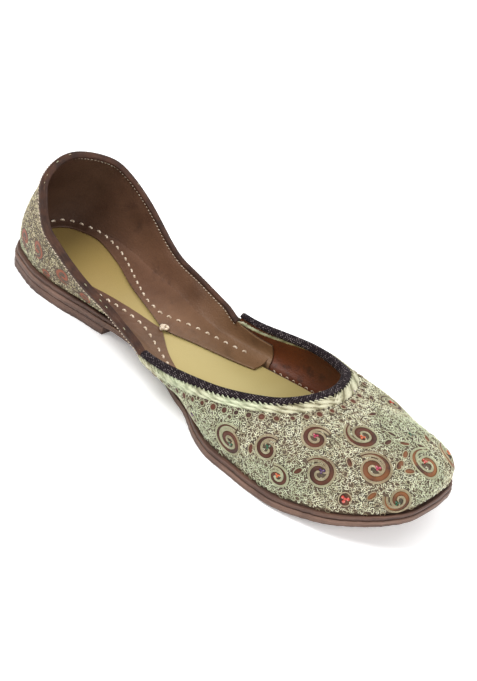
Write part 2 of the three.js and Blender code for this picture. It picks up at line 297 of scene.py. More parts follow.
def lift(x):
    """Rise of the sole's underside: heel lift, waist, flat tread, toe spring."""
    heel = (LIFT_THICK + GAP) * (1 - smooth(LIFT_FRONT, TREAD_START, x))
    toe = np.maximum(0, (x - SPRING_START) / (LENGTH - SPRING_START))
    return heel + TOE_SPRING * toe ** 2.2


feather_half = half_widths(FEATHER)


def plan_point(half, side, x, first, last, margin):
    """A point on a plan outline pushed out square to its edge, and the way out."""
    reach = 0.05
    low, high = np.maximum(first, x - reach), np.minimum(last, x + reach)
    slope = (half(side, high) - half(side, low)) / (high - low)
    out_x, out_y = -slope / np.hypot(slope, 1), 1 / np.hypot(slope, 1)
    at_heel, at_toe = x - first < reach, last - x < reach
    out_x = np.where(at_heel, -1, np.where(at_toe, 1, out_x))
    out_y = np.where(at_heel | at_toe, 0, out_y)
    return x + margin * out_x, side * (half(side, x) + margin * out_y), out_x, side * out_y


def stations(first, last, count):
    """Places from first to last that crowd together near heel and toe."""
    a, b = (math.acos(1 - 2 * x / LENGTH) / math.pi for x in (first, last))
    return LENGTH * (1 - np.cos(math.pi * np.linspace(a, b, count + 1))) / 2


# The shoe's own millimetres, from the heel on its centre line, to the frame's metres.
toe_tip = max((v.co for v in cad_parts["outsole"].data.vertices), key=lambda co: co.x)
MM = 0.001
HEEL = np.array([toe_tip.x / MM - LENGTH - SOLE_WELT, toe_tip.y / MM, 0.0])


def in_frame(points):
    return (np.asarray(points, float).reshape(-1, 3) + HEEL) * MM


def make_piece(name, points, faces, finish, replaced=(), lay=None, crisp=50):
    """A closed piece that rides on the shoe; lay holds each point's place in a pattern, in mm."""
    mesh = bpy.data.meshes.new(name)
    mesh.from_pydata(in_frame(points).tolist(), [], faces)
    if lay is not None:
        layer = mesh.uv_layers.new(name="lay")
        corners = np.zeros(len(mesh.loops), np.int32)
        mesh.loops.foreach_get("vertex_index", corners)
        layer.data.foreach_set("uv", (np.asarray(lay, float).reshape(-1, 2)[corners] * MM).ravel())
    mesh.validate()
    mesh.shade_smooth()
    mesh.set_sharp_from_angle(angle=math.radians(crisp))
    mesh.materials.append(finish)
    return hand_in(put(name, mesh), replaced)


def hand_in(piece, replaced=()):
    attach(piece, "root")
    if replaced:
        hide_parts(*replaced)
    return piece


def ring_faces(rows, points, close_ends):
    """Quads of a tube of closed sections, with its two ends closed by one face each if asked."""
    faces = []
    for i in range(rows - 1):
        for k in range(points):
            m = (k + 1) % points
            faces.append((i * points + k, i * points + m, (i + 1) * points + m, (i + 1) * points + k))
    if close_ends:
        faces.append(tuple(reversed(range(points))))
        faces.append(tuple(range((rows - 1) * points, rows * points)))
    return faces


def layer_points(bottom, thick, margin, first, last, count, rounding, across, ragged, crown=None):
    """A flat-laid layer with rounded edges; crown shapes its top by place across and along."""
    heights = thick * (1 - np.cos(np.linspace(0, math.pi, 11))) / 2
    corner = np.minimum(heights, thick - heights)
    rounded = rounding - np.sqrt(np.maximum(0, rounding ** 2 - (rounding - corner) ** 2))
    inset = np.where(corner < rounding, rounded, 0)
    share = np.linspace(0, 1, across + 2)[1:-1]
    rows, lays = [], []
    walked = 0.0
    before = None
    for x in stations(first, last, count):
        edges = {}
        for side in (LATERAL, MEDIAL):
            wear = math.sin(x * 0.9 + side) * math.sin(x * 2.3) + 0.6 * math.sin(x * 0.31 + 2 * side)
            wear = ragged * wear
            px, py, _, _ = plan_point(feather_half, side, x, 0, LENGTH, margin + wear - inset)
            edges[side] = np.stack([px, py, bottom + lift(x) + heights], 1)
        low = edges[LATERAL][0] + share[:, None] * (edges[MEDIAL][0] - edges[LATERAL][0])
        top = edges[LATERAL][-1] + share[:, None] * (edges[MEDIAL][-1] - edges[LATERAL][-1])
        if crown:
            top[:, 2] += crown(top[:, 0], top[:, 1], share)
        rows.append(np.concatenate([edges[LATERAL], top, edges[MEDIAL][::-1], low[::-1]]))
        outer = edges[LATERAL][0, :2]
        walked += 0 if before is None else float(np.linalg.norm(outer - before))
        before = outer
        rise = np.concatenate([heights, thick + 0.5 + 20 * np.minimum(share, 1 - share), heights[::-1],
                               -0.5 - 20 * np.minimum(share, 1 - share)])
        lays.append(np.stack([np.full(len(rise), walked), rise], 1))
    return np.array(rows)[:, ::-1], np.array(lays)[:, ::-1]


def sole_leather(name, light, dark, lines):
    """Cut edge of pressed leather: streaks along the edge, darker at the joints, dull and waxed."""
    finish = Finish(name)
    lay = finish.lay()
    streaks = finish.noise(1, 4, 0.6, 0.3, finish.stretched((55, 1900, 1), source=lay))
    fibres = finish.noise(900, 3, 0.6)
    patches = finish.noise(70, 2)
    band = finish.waves(lay, lines, 1.5, 2, 60, "Y")
    tone = streaks * 0.62 + band * 0.16 + fibres * 0.22
    between = tuple(0.55 * d + 0.45 * c for d, c in zip(dark, light))
    colour = finish.ramp(tone, (0.3, dark), (0.44, between), (0.66, light))
    colour = finish.mix(finish.fade(patches, 0.35, 0.75, 0, 0.4), colour, dye(54, 38, 36))
    height = streaks * 0.7 + fibres * 0.3
    return finish.done(colour, finish.fade(streaks, 0.3, 0.7, 0.62, 0.44), finish.bump(height, 0.00035, 0.7),
                       Specular_IOR_Level=0.4)


def sole_piece(name, finish, bottom, thick, margin, last, count, close_front, ragged):
    rows, lays = layer_points(bottom, thick, margin, 0, last, count, 0.55, 7, ragged)
    faces = ring_faces(*rows.shape[:2], close_front)
    return make_piece(name + "_leather", rows, faces, finish, [name], lays, 60)


sole_piece("outsole", sole_leather("outsole_edge", dye(128, 98, 82), dye(44, 31, 28), 62),
           0, OUTSOLE_THICK, SOLE_WELT, LENGTH, 190, False, 0.16)
sole_piece("midsole", sole_leather("midsole_edge", dye(108, 78, 64), dye(32, 22, 20), 80),
           MIDSOLE_BOTTOM, MIDSOLE_THICK, MIDSOLE_WELT, LENGTH, 190, False, 0.2)
sole_piece("heel_lift", sole_leather("lift_edge", dye(112, 84, 70), dye(40, 28, 26), 50),
           -LIFT_THICK - GAP, LIFT_THICK, LIFT_WELT, LIFT_FRONT, 70, True, 0.15)

# ---- insole ------------------------------------------------------------------------------
# A board covered in smooth mustard sock leather, cut 3.4 mm inside the foot line and pasted to the
# midsole; it is a little dished and shows faint cross creases behind the ball.
INSOLE_THICK, INSOLE_INSET = 1.5, 3.4
SOCK_CREASES = table("x depth width",
    (148, 0.12, 2.2), (161, 0.16, 2.6), (176, 0.1, 3.0))


def sock_crown(x, y, share):
    dish = -0.25 * np.sin(math.pi * share)
    for crease in SOCK_CREASES:
        dish = dish - crease["depth"] * np.exp(-((x - crease["x"] - 0.004 * y * y) / crease["width"]) ** 2)
    return dish


def sock_leather():
    finish = Finish("sock_leather")
    clouds = finish.noise(28, 3, 0.5)
    grain = finish.cells(1500)
    pores = finish.noise(2600, 2)
    along = finish.lengthways()
    # Darker and browner towards the heel: partly the heel end's own browner tone, partly painted shade of the
    # heel cup.
    heel_tone_and_shade_fade = finish.fade(along, -0.12, 0.03)
    colour = finish.mix(heel_tone_and_shade_fade, dye(146, 121, 70), dye(188, 172, 116))
    colour = finish.mix(finish.fade(clouds, 0.35, 0.7, 0, 0.3), colour, dye(168, 146, 84))
    colour = finish.mix(finish.fade(pores, 0.62, 0.78, 0, 0.3), colour, dye(140, 116, 66))
    height = finish.fade(grain, 0.0, 0.6) * 0.6 + pores * 0.4
    return finish.done(colour, finish.fade(clouds, 0.3, 0.7, 0.5, 0.4), finish.bump(height, 0.00012, 0.55),
                       Specular_IOR_Level=0.45)


rows, lays = layer_points(INSOLE_BOTTOM, INSOLE_THICK, -INSOLE_INSET, 0, LENGTH, 150, 0.7, 30, 0, sock_crown)
make_piece("insole_leather", rows, ring_faces(*rows.shape[:2], False), sock_leather(),
           ["insole"], lays, 60)

# ---- quarter and its lining --------------------------------------------------------------
# One strip of leather, worked all over with metal thread, that wraps the heel and runs
# forward inside the vamp's wings; a brown goatskin lining is pasted inside it.
VAMP_WALL, QUARTER_WALL, LAP_SINK = 1.9, 1.7, 0.6
WING_START, QUARTER_END, BLEND_START = 118.0, 140.0, 108.0
LEATHER_SINK = 0.3             # the leather lies this far under the thread's face
LINING_THICK, PASTE = 0.7, 0.03

# Edge of the quarter: half-widths and height above the foot.
COLLAR = table("x lateral medial height",
    (11, 0, 0, 48), (23, 26.5, 24.5, 42.5), (42, 35.5, 30.5, 30), (77, 33, 27.8, 15.5),
    (112, 35.5, 27.5, 13.6), (147, 36, 28, 12))
# Edge of the vamp.
THROAT = table("x lateral medial height",
    (107, 38.5, 27, 16), (118, 39.5, 27.5, 17), (157, 36.5, 29.5, 26), (184, 25, 22.5, 32.5),
    (194.5, 0, 0, 35))
THROAT_MAP = table("x edge",
    (107, 107), (120, 120), (157, 148), (207, 176), (242, 191), (257, 194.5))
COLLAR_MAP = table("x edge",
    (0, 11), (20, 27), (50, 51), (147, 147))
# Degrees from flat outwards at foot and edge, and the pull of each.
QUARTER_SLOPE = table("x foot head foot_pull head_pull",
    (0, 82, 116, 0.36, 0.34), (38, 58, 84, 0.36, 0.33), (77, 36, 62, 0.33, 0.33),
    (112, 28, 64, 0.36, 0.33), (147, 40, 70, 0.33, 0.33))
VAMP_SLOPE = table("x foot head foot_pull head_pull",
    (107, 18, 80, 0.45, 0.33), (137, 28, 100, 0.52, 0.33), (172, 72, 140, 0.48, 0.4),
    (217, 80, 158, 0.38, 0.4), (257, 80, 166, 0.34, 0.4))


class Edge:
    """The free edge of a wall, and the slopes with which the wall runs up to it."""

    def __init__(self, table, edge_map, slope):
        self.half = half_widths(table)
        self.height = column(table, "height")
        self.map = column(edge_map, "edge")
        self.slope = {name: column(slope, name) for name in ("foot", "head", "foot_pull", "head_pull")}
        self.first, self.last = table[0]["x"], table[-1]["x"]


collar_edge = Edge(COLLAR, COLLAR_MAP, QUARTER_SLOPE)
throat_edge = Edge(THROAT, THROAT_MAP, VAMP_SLOPE)


def feather_z(x):
    return INSOLE_BOTTOM + lift(x)


def wall(side, x, t, edge):
    """A wall drawn from the foot line to an edge, as one cubic curve for each x."""
    side, x, t = together(side, x, t)
    foot_x, foot_y, out_x, out_y = plan_point(feather_half, side, x, 0, LENGTH, 0)
    foot = np.stack([foot_x, foot_y, feather_z(x)], -1)
    foot_out = np.stack([out_x, out_y, np.zeros_like(out_x)], -1)
    head_at = edge.map(x)
    head_x, head_y, out_x, out_y = plan_point(edge.half, side, head_at, edge.first, edge.last, 0)
    head = np.stack([head_x, head_y, feather_z(head_at) + edge.height(head_at)], -1)
    head_out = np.stack([out_x, out_y, np.zeros_like(out_x)], -1)
    chord = np.linalg.norm(head - foot, axis=-1)
    up = np.array([0.0, 0.0, 1.0])
    pull, slope = chord * edge.slope["foot_pull"](x), np.radians(edge.slope["foot"](x))
    first = foot + (pull * np.cos(slope))[..., None] * foot_out + (pull * np.sin(slope))[..., None] * up
    pull, slope = chord * edge.slope["head_pull"](x), np.radians(edge.slope["head"](x))
    second = head - (pull * np.cos(slope))[..., None] * head_out - (pull * np.sin(slope))[..., None] * up
    t = t[..., None]
    return ((1 - t) ** 3 * foot + 3 * t * (1 - t) ** 2 * first + 3 * t * t * (1 - t) * second + t ** 3 * head)


TIP_REACH = 0.15               # this near to heel or toe a wall runs straight across


def normal_of(skin, side, x, t):
    """The way out of a wall, square to it."""
    side, x, t = together(side, x, t)
    x0, x1 = np.maximum(TIP_REACH, x - 0.4), np.minimum(LENGTH - TIP_REACH, x + 0.4)
    t0, t1 = np.maximum(0, t - 0.02), np.minimum(1, t + 0.02)
    along = skin(side, x1, t) - skin(side, x0, t)
    up = skin(side, x, t1) - skin(side, x, t0)
    across = np.stack([np.zeros_like(side), side, np.zeros_like(side)], -1)
    along = np.where((x < TIP_REACH)[..., None], across, along)
    along = np.where((x > LENGTH - TIP_REACH)[..., None], -across, along)
    return unit(np.cross(along, up) * -side[..., None])


def offset(skin, side, x, t, distance):
    return skin(side, x, t) + normal_of(skin, side, x, t) * np.asarray(distance)[..., None]


def plain_vamp(side, x, t):
    return wall(side, x, t, throat_edge)


def plain_quarter(side, x, t):
    """The quarter's own wall, drawn in under the wings at its front ends."""
    own = wall(side, x, t, collar_edge)
    share = smooth(BLEND_START, WING_START, np.asarray(x, float))[..., None]
    reach = t * collar_edge.height(x) / throat_edge.height(throat_edge.map(x))
    under = offset(plain_vamp, side, x, reach, LAP_SINK - VAMP_WALL)
    return own + (under - own) * share


# Soft troughs where the leather has folded: side, middle, slant in mm from foot to edge,
# half-width and depth. They fade out at the foot and at the edge.
QUARTER_CREASES = table("side x slant width depth",
    (MEDIAL, 30, 10, 4.0, 0.55), (MEDIAL, 44, 16, 3.0, 0.45), (MEDIAL, 62, 20, 5.0, 0.5),
    (LATERAL, 27, 8, 4.0, 0.5), (LATERAL, 52, 14, 5.0, 0.5), (LATERAL, 84, -8, 6.0, 0.4),
    (MEDIAL, 92, -10, 6.0, 0.4))
VAMP_CREASES = table("side x slant width depth",
    (LATERAL, 146, 14, 5.0, 0.5), (LATERAL, 181, 6, 7.0, 0.35), (MEDIAL, 150, 12, 5.0, 0.5),
    (MEDIAL, 186, -8, 7.0, 0.4), (MEDIAL, 236, -6, 6.0, 0.4), (LATERAL, 226, 4, 6.0, 0.35))


def creased(skin, creases):
    def at(side, x, t):
        side, x, t = together(side, x, t)
        depth = np.zeros_like(x)
        for crease in creases:
            away = (x - crease["x"] - crease["slant"] * (t - 0.5)) / crease["width"]
            depth = depth + (side == crease["side"]) * crease["depth"] * np.exp(-away ** 2)
        fade = smooth(0, 0.35, t) * (1 - smooth(0.7, 0.95, t))
        return offset(skin, side, x, t, -depth * fade)
    return at


quarter_skin = creased(plain_quarter, QUARTER_CREASES)
vamp_skin = creased(plain_vamp, VAMP_CREASES)


EDGE_STRIP = 0.04              # share of a wall, beside its edge, that the way up there is taken from


def edge_rise(skin, sides, xs):
    """Beside a wall's edge: millimetres up the wall for each unit of t, and the way up."""
    rise = skin(sides, xs, np.ones_like(xs)) - skin(sides, xs, np.full_like(xs, 1 - EDGE_STRIP))
    return np.linalg.norm(rise, axis=1) / EDGE_STRIP, unit(rise)


def round_run(places):
    """(side, x) down the lateral side, round heel or toe, and back up the medial side."""
    sides = np.concatenate([np.full(len(places), LATERAL), np.full(len(places) - 1, MEDIAL)])
    return sides, np.concatenate([places, places[-2::-1]])


def shell_faces(rows, cols):
    """Closed body between an outer and an inner grid; the outer grid comes first."""
    faces = []
    inner = rows * cols
    for r in range(rows - 1):
        for c in range(cols - 1):
            a = r * cols + c
            faces.append((a, a + 1, a + cols + 1, a + cols))
            faces.append((inner + a, inner + a + cols, inner + a + cols + 1, inner + a + 1))
        a, b = r * cols, r * cols + cols - 1
        faces.append((a, a + cols, inner + a + cols, inner + a))
        faces.append((b, inner + b, inner + b + cols, b + cols))
    for c in range(cols - 1):
        top = (rows - 1) * cols + c
        faces.append((c, inner + c, inner + c + 1, c + 1))
        faces.append((top, top + 1, inner + top + 1, inner + top))
    return faces


def skin_grid(skin, run, levels, depth):
    """Points of a wall at a depth under its face, with how far up each level lies, 0 to 1."""
    sides, xs = run
    t = np.linspace(0, 1, levels + 1)[:, None]
    return offset(skin, sides[None, :], xs[None, :], t, np.full((levels + 1, len(xs)), -depth)), t


def wall_piece(name, skin, run, outer, inner, levels, finish):
    """The part of a wall between two depths under its face."""
    xs = run[1]
    grids = [skin_grid(skin, run, levels, depth)[0] for depth in (outer, inner)]
    for grid in grids:
        grid[0, :, 2] = feather_z(xs)
    faces = shell_faces(levels + 1, len(xs))
    along = walked(grids[0][levels // 2])
    up = np.cumsum(np.linalg.norm(np.diff(grids[0], axis=0, prepend=grids[0][:1]), axis=2), axis=0)
    lay = np.stack([np.broadcast_to(along, up.shape), up], -1)
    return make_piece(name, np.concatenate([g.reshape(-1, 3) for g in grids]), faces, finish, ["upper"],
                      np.concatenate([lay.reshape(-1, 2)] * 2), 55)


def upper_leather():
    """Reddish-brown goatskin that shows in the gaps between the threads: its own colour, darkened further by
    painted shade of those gaps.
    """
    finish = Finish("upper_leather")
    pools = finish.noise(160, 2)
    ruffled = finish.mix(0.25, finish.here, finish.noise(500, 2).other("Color"), "LINEAR_LIGHT")
    threads = finish.cells(620, "DISTANCE_TO_EDGE", ruffled)
    # Darker than the bare scroll leather: painted shade of the gaps between the curls.
    leather = finish.ramp(pools, (0.35, dye(34, 19, 14)), (0.65, dye(64, 34, 22)))
    grain = finish.noise(2400, 3)
    colour = finish.mix(finish.fade(threads, 0.08, 0.02, 0, 0.7), leather, dye(140, 130, 98))
    return finish.done(colour, finish.fade(grain, 0.3, 0.7, 0.7, 0.55), finish.bump(grain, 0.0002, 0.8))


def lining_leather(name, light, dark, deep, spots, heel_cup_shade, front):
    """Thin goatskin: fine pebbled grain, cloudy colour, worn lighter along its folds, with painted shade that
    darkens it towards the back of the heel cup.
    """
    finish = Finish(name)
    clouds = finish.noise(24, 4, 0.6, 0.4)
    blots = finish.noise(110, 3, 0.65)
    grain = finish.cells(1250)
    pores = finish.noise(2500, 2)
    wrinkles = finish.noise(1, 4, 0.6, 0.8, finish.stretched((90, 300, 420), (0, 0.3, 0.2)))
    scuffs = finish.noise(1, 3, 0.7, 0.2, finish.stretched((260, 900, 700), (0.4, 0.2, 0.5)))
    colour = finish.ramp(clouds, (0.32, dark), (0.68, light))
    colour = finish.mix(finish.fade(blots, 0.5, 0.78, 0, spots), colour, deep)
    colour = finish.mix(finish.fade(scuffs, 0.64, 0.8, 0, 0.28), colour, dye(168, 132, 104))
    along = finish.lengthways()
    # Painted shade: the lining darkens towards the back of the heel cup, by heel_cup_shade.
    colour = finish.mix(finish.fade(along, -0.06, -0.122, 0, heel_cup_shade), colour, tuple(0.4 * d for d in dark))
    # Lighter and yellower towards the front, by front.
    colour = finish.mix(finish.fade(along, -0.07, 0.02, 0, front), colour, dye(156, 124, 78))
    height = finish.fade(grain, 0, 0.7) * 0.45 + pores * 0.2 + wrinkles * 0.6
    return finish.done(colour, finish.fade(clouds, 0.3, 0.7, 0.42, 0.56), finish.bump(height, 0.00028, 0.7),
                       Specular_IOR_Level=0.45)


leather = upper_leather()
goatskin = lining_leather("quarter_goatskin", dye(118, 84, 62), dye(78, 51, 38), dye(54, 34, 28),
                          0.5, 0.6, 0.24)
quarter_run = round_run(np.concatenate([
    stations(QUARTER_END, WING_START - 1, 20)[:-1], stations(WING_START - 1, 0, 150)]))
wall_piece("quarter", quarter_skin, quarter_run, LEATHER_SINK, QUARTER_WALL - LINING_THICK, 32,
           leather)
wall_piece("quarter_lining", quarter_skin, quarter_run, QUARTER_WALL - LINING_THICK + PASTE, QUARTER_WALL, 32,
           goatskin)

# ---- vamp and its lining -----------------------------------------------------------------
# One piece of the same leather over the forefoot, with a wing down each side that is sewn
# over the quarter's end; its lining is a rust-tan leather.
vamp_run = round_run(stations(WING_START, LENGTH, 170))
wall_piece("vamp", vamp_skin, vamp_run, LEATHER_SINK, VAMP_WALL - LINING_THICK, 44,
           leather)
rust = lining_leather("vamp_lining_leather", dye(112, 56, 26), dye(68, 32, 16), dye(30, 15, 10), 0.9, 0, 0)
wall_piece("vamp_lining", vamp_skin, vamp_run, VAMP_WALL - LINING_THICK + PASTE, VAMP_WALL, 44,
           rust)

# ---- seat flange -------------------------------------------------------------------------
# The quarter's lining, turned in over the insole all round the heel in one soft sweep. Its two
# free edges leave a teardrop of bare insole, meet at the waist, and part again to the front.
FLANGE_THICK, FLANGE_FRONT, FLANGE_SWEEP = 1.0, 138.0, 3.2
# Free edge beside each point of the wall's foot; a negative half lies past the centre.
FLANGE = table("x inner lateral medial",
    (0, 7.5, 0, 0), (2, 8.2, 5.5, 5.5), (9, 13, 12, 11.8), (25, 26, 17, 16.5), (43, 44, 16.5, 12.5),
    (65, 66, 11, 4), (84, 93.5, 5.4, -3.1), (88, 97, 4.4, -3.8), (91, 99, 5.4, -2.9),
    (111, 113, 13.5, 5.5), (138, 139, 22, 18.5))
flange_x = column(FLANGE, "inner")
flange_lateral, flange_medial = column(FLANGE, "lateral"), column(FLANGE, "medial")
FLANGE_BOTTOM = INSOLE_BOTTOM + INSOLE_THICK + GAP
SWEEP_SHARE = 0.4              # part of the flange's width that the sweep takes


def flange_point(side, x, share):
    """The flange's face: from a little way up the wall, 0, down and in to the free edge, 1."""
    head = collar_edge.height(x)
    high = offset(quarter_skin, side, x, FLANGE_SWEEP / head, np.full(x.shape, -QUARTER_WALL + 0.1))
    foot_x, foot_y, _, _ = plan_point(feather_half, side, x, 0, LENGTH, -INSOLE_INSET + 0.8)
    foot = np.stack([foot_x, foot_y, FLANGE_BOTTOM + FLANGE_THICK + lift(foot_x)], -1)
    edge_x = flange_x(x)
    edge_y = side * np.where(side < 0, flange_lateral(x), flange_medial(x))
    edge = np.stack([edge_x, edge_y, FLANGE_BOTTOM + FLANGE_THICK + lift(edge_x)], -1)
    landing = foot + (edge - foot) * SWEEP_SHARE
    u = np.clip(share / SWEEP_SHARE, 0, 1)[..., None]
    bend = (1 - u) ** 2 * high + 2 * u * (1 - u) * foot + u * u * landing
    flat = landing + (edge - landing) * np.clip((share - SWEEP_SHARE) / (1 - SWEEP_SHARE), 0, 1)[..., None]
    return np.where((share < SWEEP_SHARE)[..., None], bend, flat)


def flange_grid(side, x, share, depth):
    side, x, share = together(side, x, share)
    grid = flange_point(side, x, share)
    rolled = 0.5 * FLANGE_THICK * np.clip((share - 0.95) / 0.05, 0, 1) ** 2
    pucker = 0.1 * np.sin(x * 2 * math.pi / 5.0 + side) * np.sin(math.pi * share)
    grid[..., 2] += np.where(depth > 0, -FLANGE_THICK + rolled, pucker - rolled)
    return grid


flange_run = round_run(stations(FLANGE_FRONT, 0, 190))
sides, xs = flange_run
flat_shares = np.linspace(SWEEP_SHARE, 0.95, 9)[1:]
shares = np.concatenate([np.linspace(0, SWEEP_SHARE, 9), flat_shares, [0.97, 0.985, 1.0]])[:, None]
grids = [flange_grid(sides[None, :], xs[None, :], shares, depth) for depth in (0, 1)]
make_piece("seat_flange_leather", np.concatenate([g.reshape(-1, 3) for g in grids]),
            shell_faces(len(shares), len(xs)), goatskin, ["seat_flange"])

# ---- bindings ----------------------------------------------------------------------------
# A dark twill braid is folded over the vamp's edge and sewn through; the quarter's edge has a
# strip of thin brown leather instead.
BINDING_THICK, THROAT_DEPTH, THROAT_INSIDE = 0.7, 3.2, 1.4
COLLAR_DEPTH, COLLAR_INSIDE = 2.9, 1.1
BINDING_RISE = 1.0


def binding_profile(wall_thick, steps, deep, inside):
    """Closed section of a folded strip: (depth below the edge, distance out of the wall)."""
    middle = -wall_thick / 2
    reach = wall_thick / 2 + GAP
    turn = np.linspace(0, math.pi, steps)
    def leg(thick):
        start = [(deep - d, thick + GAP) for d in np.linspace(0, deep, 6)[:-1]]
        fold = [(-math.sin(a) * (GAP + (BINDING_RISE - GAP) * thick / BINDING_THICK),
                 middle + (reach + thick) * math.cos(a)) for a in turn]
        end = [(d, -wall_thick - GAP - thick) for d in np.linspace(0, inside, 4)[1:]]
        return start + fold + end
    outer = leg(BINDING_THICK)
    inner = leg(0.0)
    outer[0] = (deep, BINDING_THICK * 0.55 + GAP)
    outer[-1] = (inside, -wall_thick - GAP - BINDING_THICK * 0.55)
    return np.array(outer + inner[::-1])


def binding_piece(name, skin, run, wall_thick, finish, plump, deep, inside, narrow=1.0):
    """A strip folded over a wall's edge; it narrows to a share of its depth at both ends."""
    sides, xs = run
    profile = binding_profile(wall_thick, 9, deep, inside)
    speed, up = edge_rise(skin, sides, xs)
    along = walked(skin(sides, xs, np.ones_like(xs)))
    taper = narrow + (1 - narrow) * smooth(2, 26, np.minimum(along, along[-1] - along))
    rings = []
    for depth, out in profile:
        puff = plump * math.sin(math.pi * min(max(depth, 0) / deep, 1)) if out > GAP else 0
        t = 1 - np.maximum(depth, 0) * taper / speed
        rings.append(offset(skin, sides, xs, t, np.full(len(xs), out + puff)) + max(0, -depth) * up)
    rows = np.stack(rings, 1)
    lay = np.stack(together(along[:, None], walked(profile)[None, :]), -1)
    return make_piece(name + "_strip", rows[::-1], ring_faces(len(xs), len(profile), True), finish,
                      [name], lay[::-1], 65)


def braid():
    """Dark twill braid: slanting ribs with pale flecks where light thread comes up."""
    finish = Finish("twill_braid")
    lay = finish.lay()
    slanted = finish.stretched((1, 1, 1), (0, 0, math.radians(38)), lay)
    across = finish.stretched((1, 1, 1), (0, 0, math.radians(-52)), lay)
    flecks = finish.cells(1300)
    weave = finish.waves(slanted, 330, 0.8, 1) * finish.waves(across, 330, 0.8, 1)
    colour = finish.ramp(weave, (0.05, dye(14, 9, 12)), (0.4, dye(36, 24, 29)), (0.85, dye(62, 46, 52)))
    pale = finish.fade(flecks.other("Color"), 0.6, 0.72) * finish.fade(weave, 0.25, 0.5)
    colour = finish.mix(pale * 0.6, colour, dye(170, 156, 156))
    return finish.done(colour, finish.fade(weave, 0, 1, 0.9, 0.75), finish.bump(weave, 0.0004, 0.9),
                       Specular_IOR_Level=0.2)


def edge_leather():
    """Thin folded leather: fine lengthways creases, rubbed lighter along the fold."""
    finish = Finish("edge_leather")
    lay = finish.lay()
    pulls = finish.noise(1, 4, 0.6, 0.4, finish.stretched((140, 900, 1), source=lay))
    grain = finish.noise(1900, 3)
    blots = finish.noise(130, 3)
    colour = finish.ramp(blots, (0.34, dye(46, 28, 21)), (0.68, dye(76, 48, 34)))
    colour = finish.mix(finish.fade(pulls, 0.55, 0.75, 0, 0.5), colour, dye(104, 74, 54))
    height = pulls * 0.7 + grain * 0.3
    return finish.done(colour, finish.fade(pulls, 0.3, 0.7, 0.75, 0.6), finish.bump(height, 0.0003, 0.7),
                       Specular_IOR_Level=0.25)


binding_piece("throat_binding", vamp_skin, vamp_run, VAMP_WALL, braid(), 0.15,
              THROAT_DEPTH, THROAT_INSIDE, 0.45)
collar_run = round_run(stations(WING_START - 1, 0, 170))
binding_piece("collar_binding", quarter_skin, collar_run, QUARTER_WALL, edge_leather(), 0.1,
              COLLAR_DEPTH, COLLAR_INSIDE)

# ---- thread work -------------------------------------------------------------------------
# Pale gold metal thread, laid in small curls and couched down, fills the whole face of vamp and
# quarter; it stops at the brown leather scrolls that are left bare and ringed with cord.
THREAD, CORD_THREAD = 0.2, 0.27    # half the thickness of curl thread and of cord
BORDER_DEPTH = 7.6             # width from the edge that binding and satin border take up


def carrier(name, points, edges=(), faces=(), **attributes):
    """A bare mesh in the frame that a repeat is grown on."""
    mesh = bpy.data.meshes.new(name)
    mesh.from_pydata(in_frame(points).tolist(), [tuple(e) for e in edges], [tuple(f) for f in faces])
    for label, values in attributes.items():
        values = np.asarray(values, float)
        kind, field = ("FLOAT_VECTOR", "vector") if values.ndim == 2 else ("FLOAT", "value")
        mesh.attributes.new(label, kind, "POINT").data.foreach_set(field, values.ravel())
    return put(name, mesh)


def grow(name, base, lay_out, sizes, finish):
    """Grows a repeat on a carrier by Geometry Nodes, with sizes in mm, and keeps the plain mesh."""
    tree = bpy.data.node_groups.new(name, "GeometryNodeTree")
    tree.interface.new_socket("Geometry", in_out="INPUT", socket_type="NodeSocketGeometry")
    sockets = {label: tree.interface.new_socket(label, in_out="INPUT", socket_type="NodeSocketFloat")
               for label in sizes}
    tree.interface.new_socket("Geometry", in_out="OUTPUT", socket_type="NodeSocketGeometry")
    graph = Graph(tree)
    entry = graph.add("NodeGroupInput")
    grown = graph.add("GeometryNodeRealizeInstances", None, {"Geometry": lay_out(graph, entry)})
    rounded = graph.add("GeometryNodeSetShadeSmooth", None, {"Geometry": grown})
    dressed = graph.add("GeometryNodeSetMaterial", None, {"Geometry": rounded, "Material": finish})
    graph.add("NodeGroupOutput", None, {"Geometry": dressed})
    modifier = base.modifiers.new(name, "NODES")
    modifier.node_group = tree
    for label, value in sizes.items():
        modifier[sockets[label].identifier] = value * MM
    evaluated = base.evaluated_get(bpy.context.evaluated_depsgraph_get())
    mesh = bpy.data.meshes.new_from_object(evaluated)
    bpy.data.objects.remove(base)
    return hand_in(put(name, mesh))


def circle(graph, radius, sides):
    return graph.add("GeometryNodeCurvePrimitiveCircle", None, {"Resolution": sides, "Radius": radius})


def tube(graph, path, radius, sides):
    return graph.add("GeometryNodeCurveToMesh", None, {
        "Curve": path, "Profile Curve": circle(graph, radius, sides), "Fill Caps": True})


def bow(graph, steps, size, *points):
    """A bent path through a start, two handles and an end, told as parts of a size."""
    ends = [graph.add("ShaderNodeCombineXYZ", None, {axis: size * place for axis, place in zip("XYZ", point)})
            for point in points]
    places = dict(zip(("Start", "Start Handle", "End Handle", "End"), ends))
    return graph.add("GeometryNodeCurvePrimitiveBezierSegment", None, {"Resolution": steps, **places})


def random_number(graph, low, high, seed, kind="FLOAT"):
    return graph.add("FunctionNodeRandomValue", {"data_type": kind}, {"Min": low, "Max": high, "Seed": seed})


